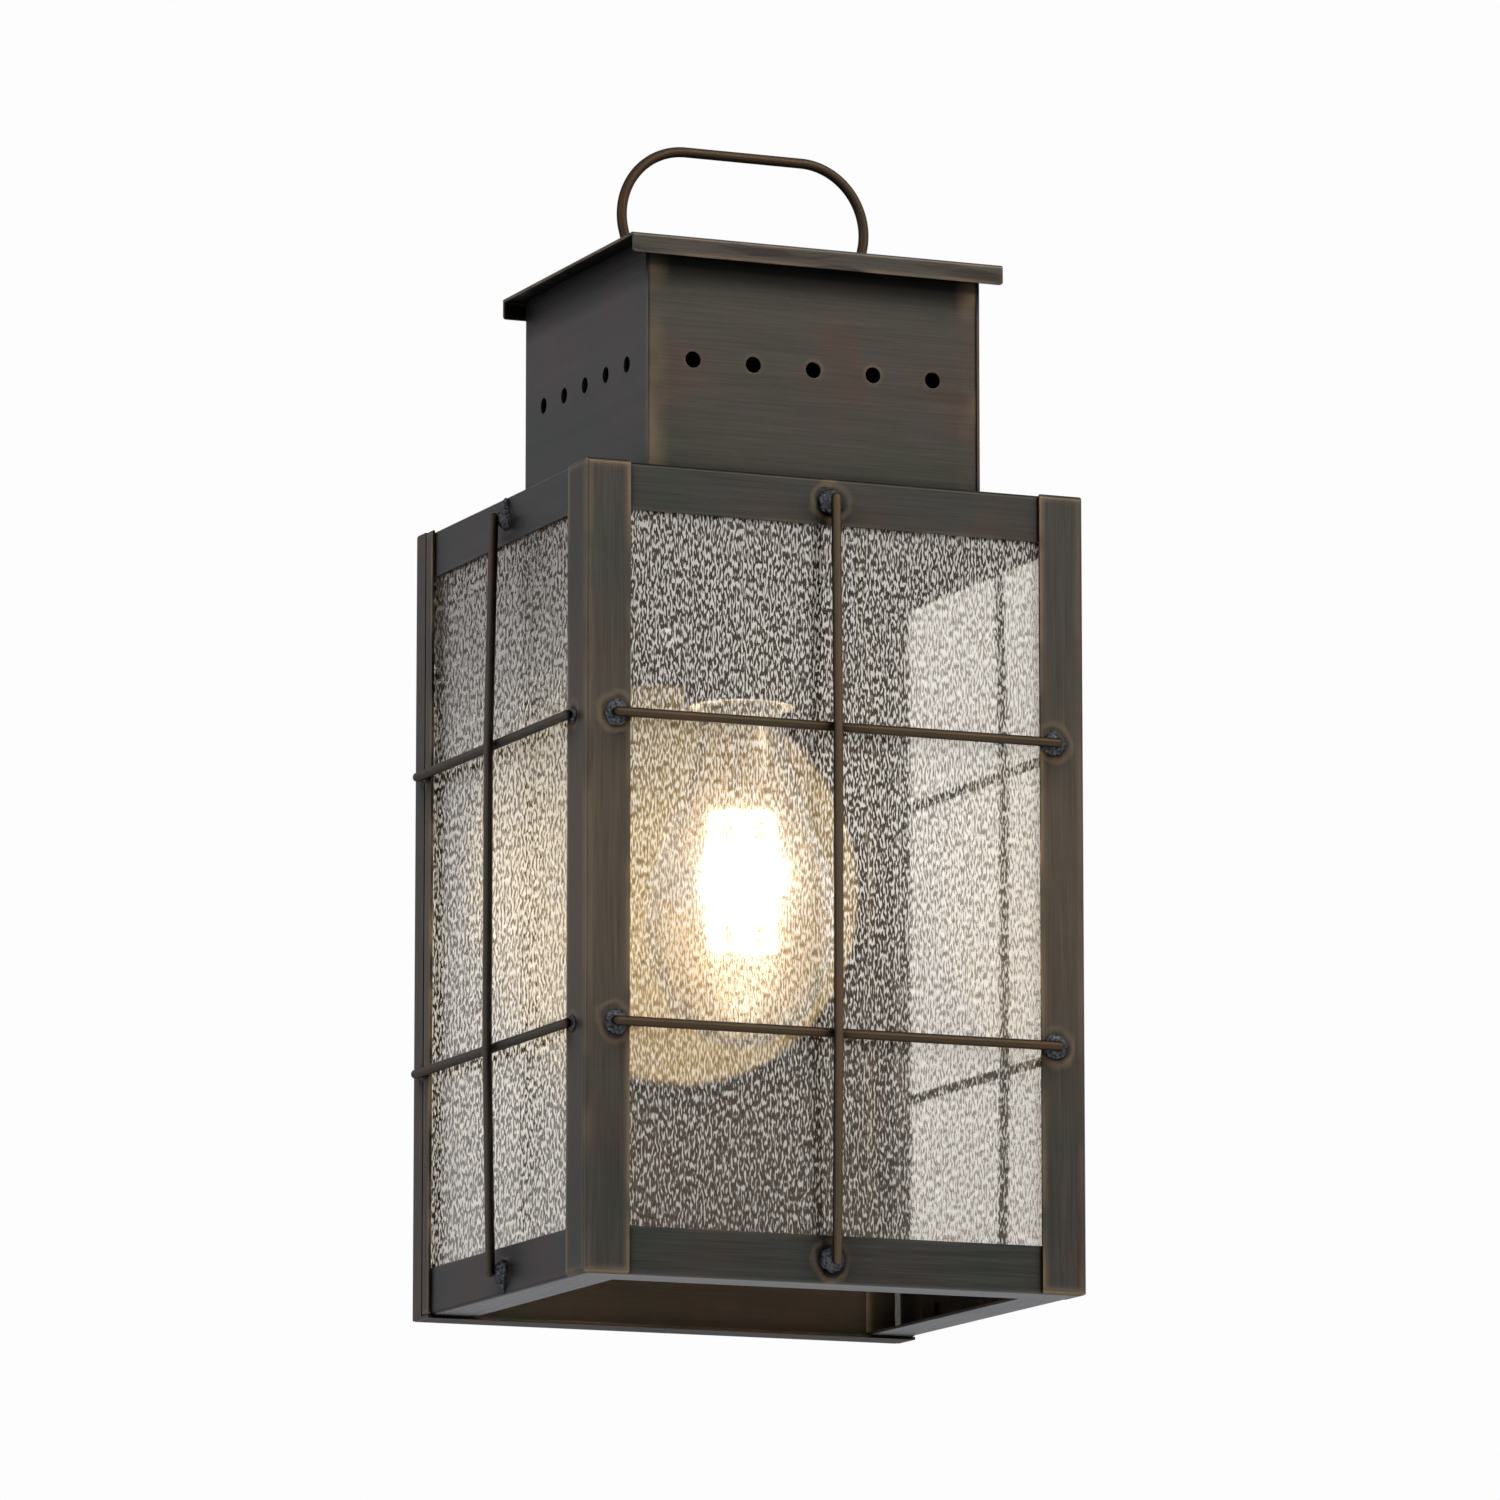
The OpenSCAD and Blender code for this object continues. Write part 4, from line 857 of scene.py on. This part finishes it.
solder, tree = material("tarnished_soft_solder")
place = millimetres(tree)
lumps = add(tree, "TexNoise", {"Vector": place, "Scale": lumps_per_mm, "Detail": 4, "Roughness": 0.65})
painted_glints = add(tree, "MapRange", {"Value": lumps, "From Min": 0.64, "From Max": 0.76, "To Max": 0.7})
mottled = add(tree, "MapRange", {"Value": lumps, "From Min": 0.36, "From Max": 0.64})
tone = add(tree, "Mix", {"Factor": mottled, "A": colour("#202124"), "B": colour("#606266")}, data_type="RGBA")
tone = add(tree, "Mix", {"Factor": painted_glints, "A": tone, "B": colour("#a6a8a6")}, data_type="RGBA")
# Painted shade where the lumps are covered
tone = add(tree, "VectorMath", {0: tone, "Scale": painted_shade_under_cover(tree, 0.006, 0.3, 0.9, 0.7)}, operation="SCALE")
relief = add(tree, "Bump", {"Height": lumps, "Strength": 0.9, "Distance": 0.0005})
gloss = add(tree, "MapRange", {"Value": lumps, "To Min": 0.6, "To Max": 0.3})
shader = add(tree, "BsdfPrincipled", {
    "Base Color": tone, "Metallic": 0.85, "Roughness": gloss, "Specular Tint": colour("#8a8886"),
    "Normal": relief,
})
add(tree, "OutputMaterial", {"Surface": shader})
print("lumps", round(1 / lumps_per_mm, 2), "mm across")

# %% Shape of a bead
def bead(shape, foot, outward, across, height, run, seed):
    """Adds a mound to a bmesh. foot is the middle of its foot, and across and height are its size, in metres.
    run is how far its rim runs out into a point, one way or the other along its face."""
    made = bmesh.ops.create_icosphere(shape, subdivisions=4, radius=1)["verts"]
    for v in made:
        wide_lump = noise.noise(v.co * 1.3 + Vector((seed * 7.3, 0, 0))) * 0.16
        small_lump = noise.noise(v.co * 3.1 + Vector((0, seed * 5.1, 0))) * 0.08
        v.co *= 1 + (wide_lump + small_lump)
        radius = min(math.hypot(v.co.x, v.co.y), 1.0)
        v.co.z = v.co.z * (1 - 0.35 * radius) if v.co.z > 0 else max(v.co.z, -0.12)
        ahead = max(v.co.x * run, 0.0)
        v.co.y *= 1 - 0.7 * ahead
        v.co.x *= 1 + ahead ** 2
    turn = Vector((0, 0, 1)).rotation_difference(Vector(outward)).to_matrix().to_4x4()
    bmesh.ops.scale(shape, vec=(across / 2, across / 2, height), verts=made)
    bmesh.ops.transform(shape, matrix=Matrix.Translation(foot) @ turn, verts=made)


def solder_piece(name, beads, replaced):
    """One piece of several beads, each given by its foot, outward direction, width, height and run."""
    shape = bmesh.new()
    for i, measures in enumerate(beads):
        bead(shape, *measures, seed=i + len(name) * 3)
    mesh = bpy.data.meshes.new(name)
    shape.to_mesh(mesh)
    shape.free()
    for face in mesh.polygons:
        face.use_smooth = True
    piece = put(name, mesh)
    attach(piece, "fixture")
    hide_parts(replaced)
    mesh.materials.append(solder)
    print(name, len(beads), "beads,", len(mesh.polygons), "faces")


# %% Beads of solder
# Width and height of a bead, in metres. On a rail the bar stands off the face, so its bead is tall
front_cross_size, front_upright_size = (0.0084, 0.0016), (0.0084, 0.0043)
side_cross_size, side_upright_size = (0.0056, 0.0015), (0.0074, 0.0043)
handle_size = (0.008, 0.0017)
no_run, side_run = 0.0, 0.95

front_beads = [(foot, (0, -1, 0), *front_cross_size, no_run) for foot in front_cross]
front_beads += [(foot, (0, -1, 0), *front_upright_size, no_run) for foot in front_upright]
solder_piece("solder_beads_front", front_beads, "solder_front")
for side, sign in (("left", -1), ("right", 1)):
    side_beads = [(foot, (sign, 0, 0), *side_cross_size, no_run) for foot in side_cross[side]]
    for foot, way in zip(side_upright[side], (sign, -sign)):
        side_beads.append((foot, (sign, 0, 0), *side_upright_size, side_run * way))
    solder_piece("solder_beads_" + side, side_beads, "solder_" + side)

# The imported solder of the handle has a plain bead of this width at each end
packed_bead = 0.0075
solder_low, solder_high = [Vector(corner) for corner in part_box("handle_solder")]
handle_y = ((solder_low + solder_high) / 2).y
handle_ends = (solder_low.x + packed_bead / 2, solder_high.x - packed_bead / 2)
handle_beads = [(Vector((x, handle_y, solder_low.z)), (0, 0, 1), *handle_size, no_run) for x in handle_ends]
solder_piece("solder_beads_handle", handle_beads, "handle_solder")
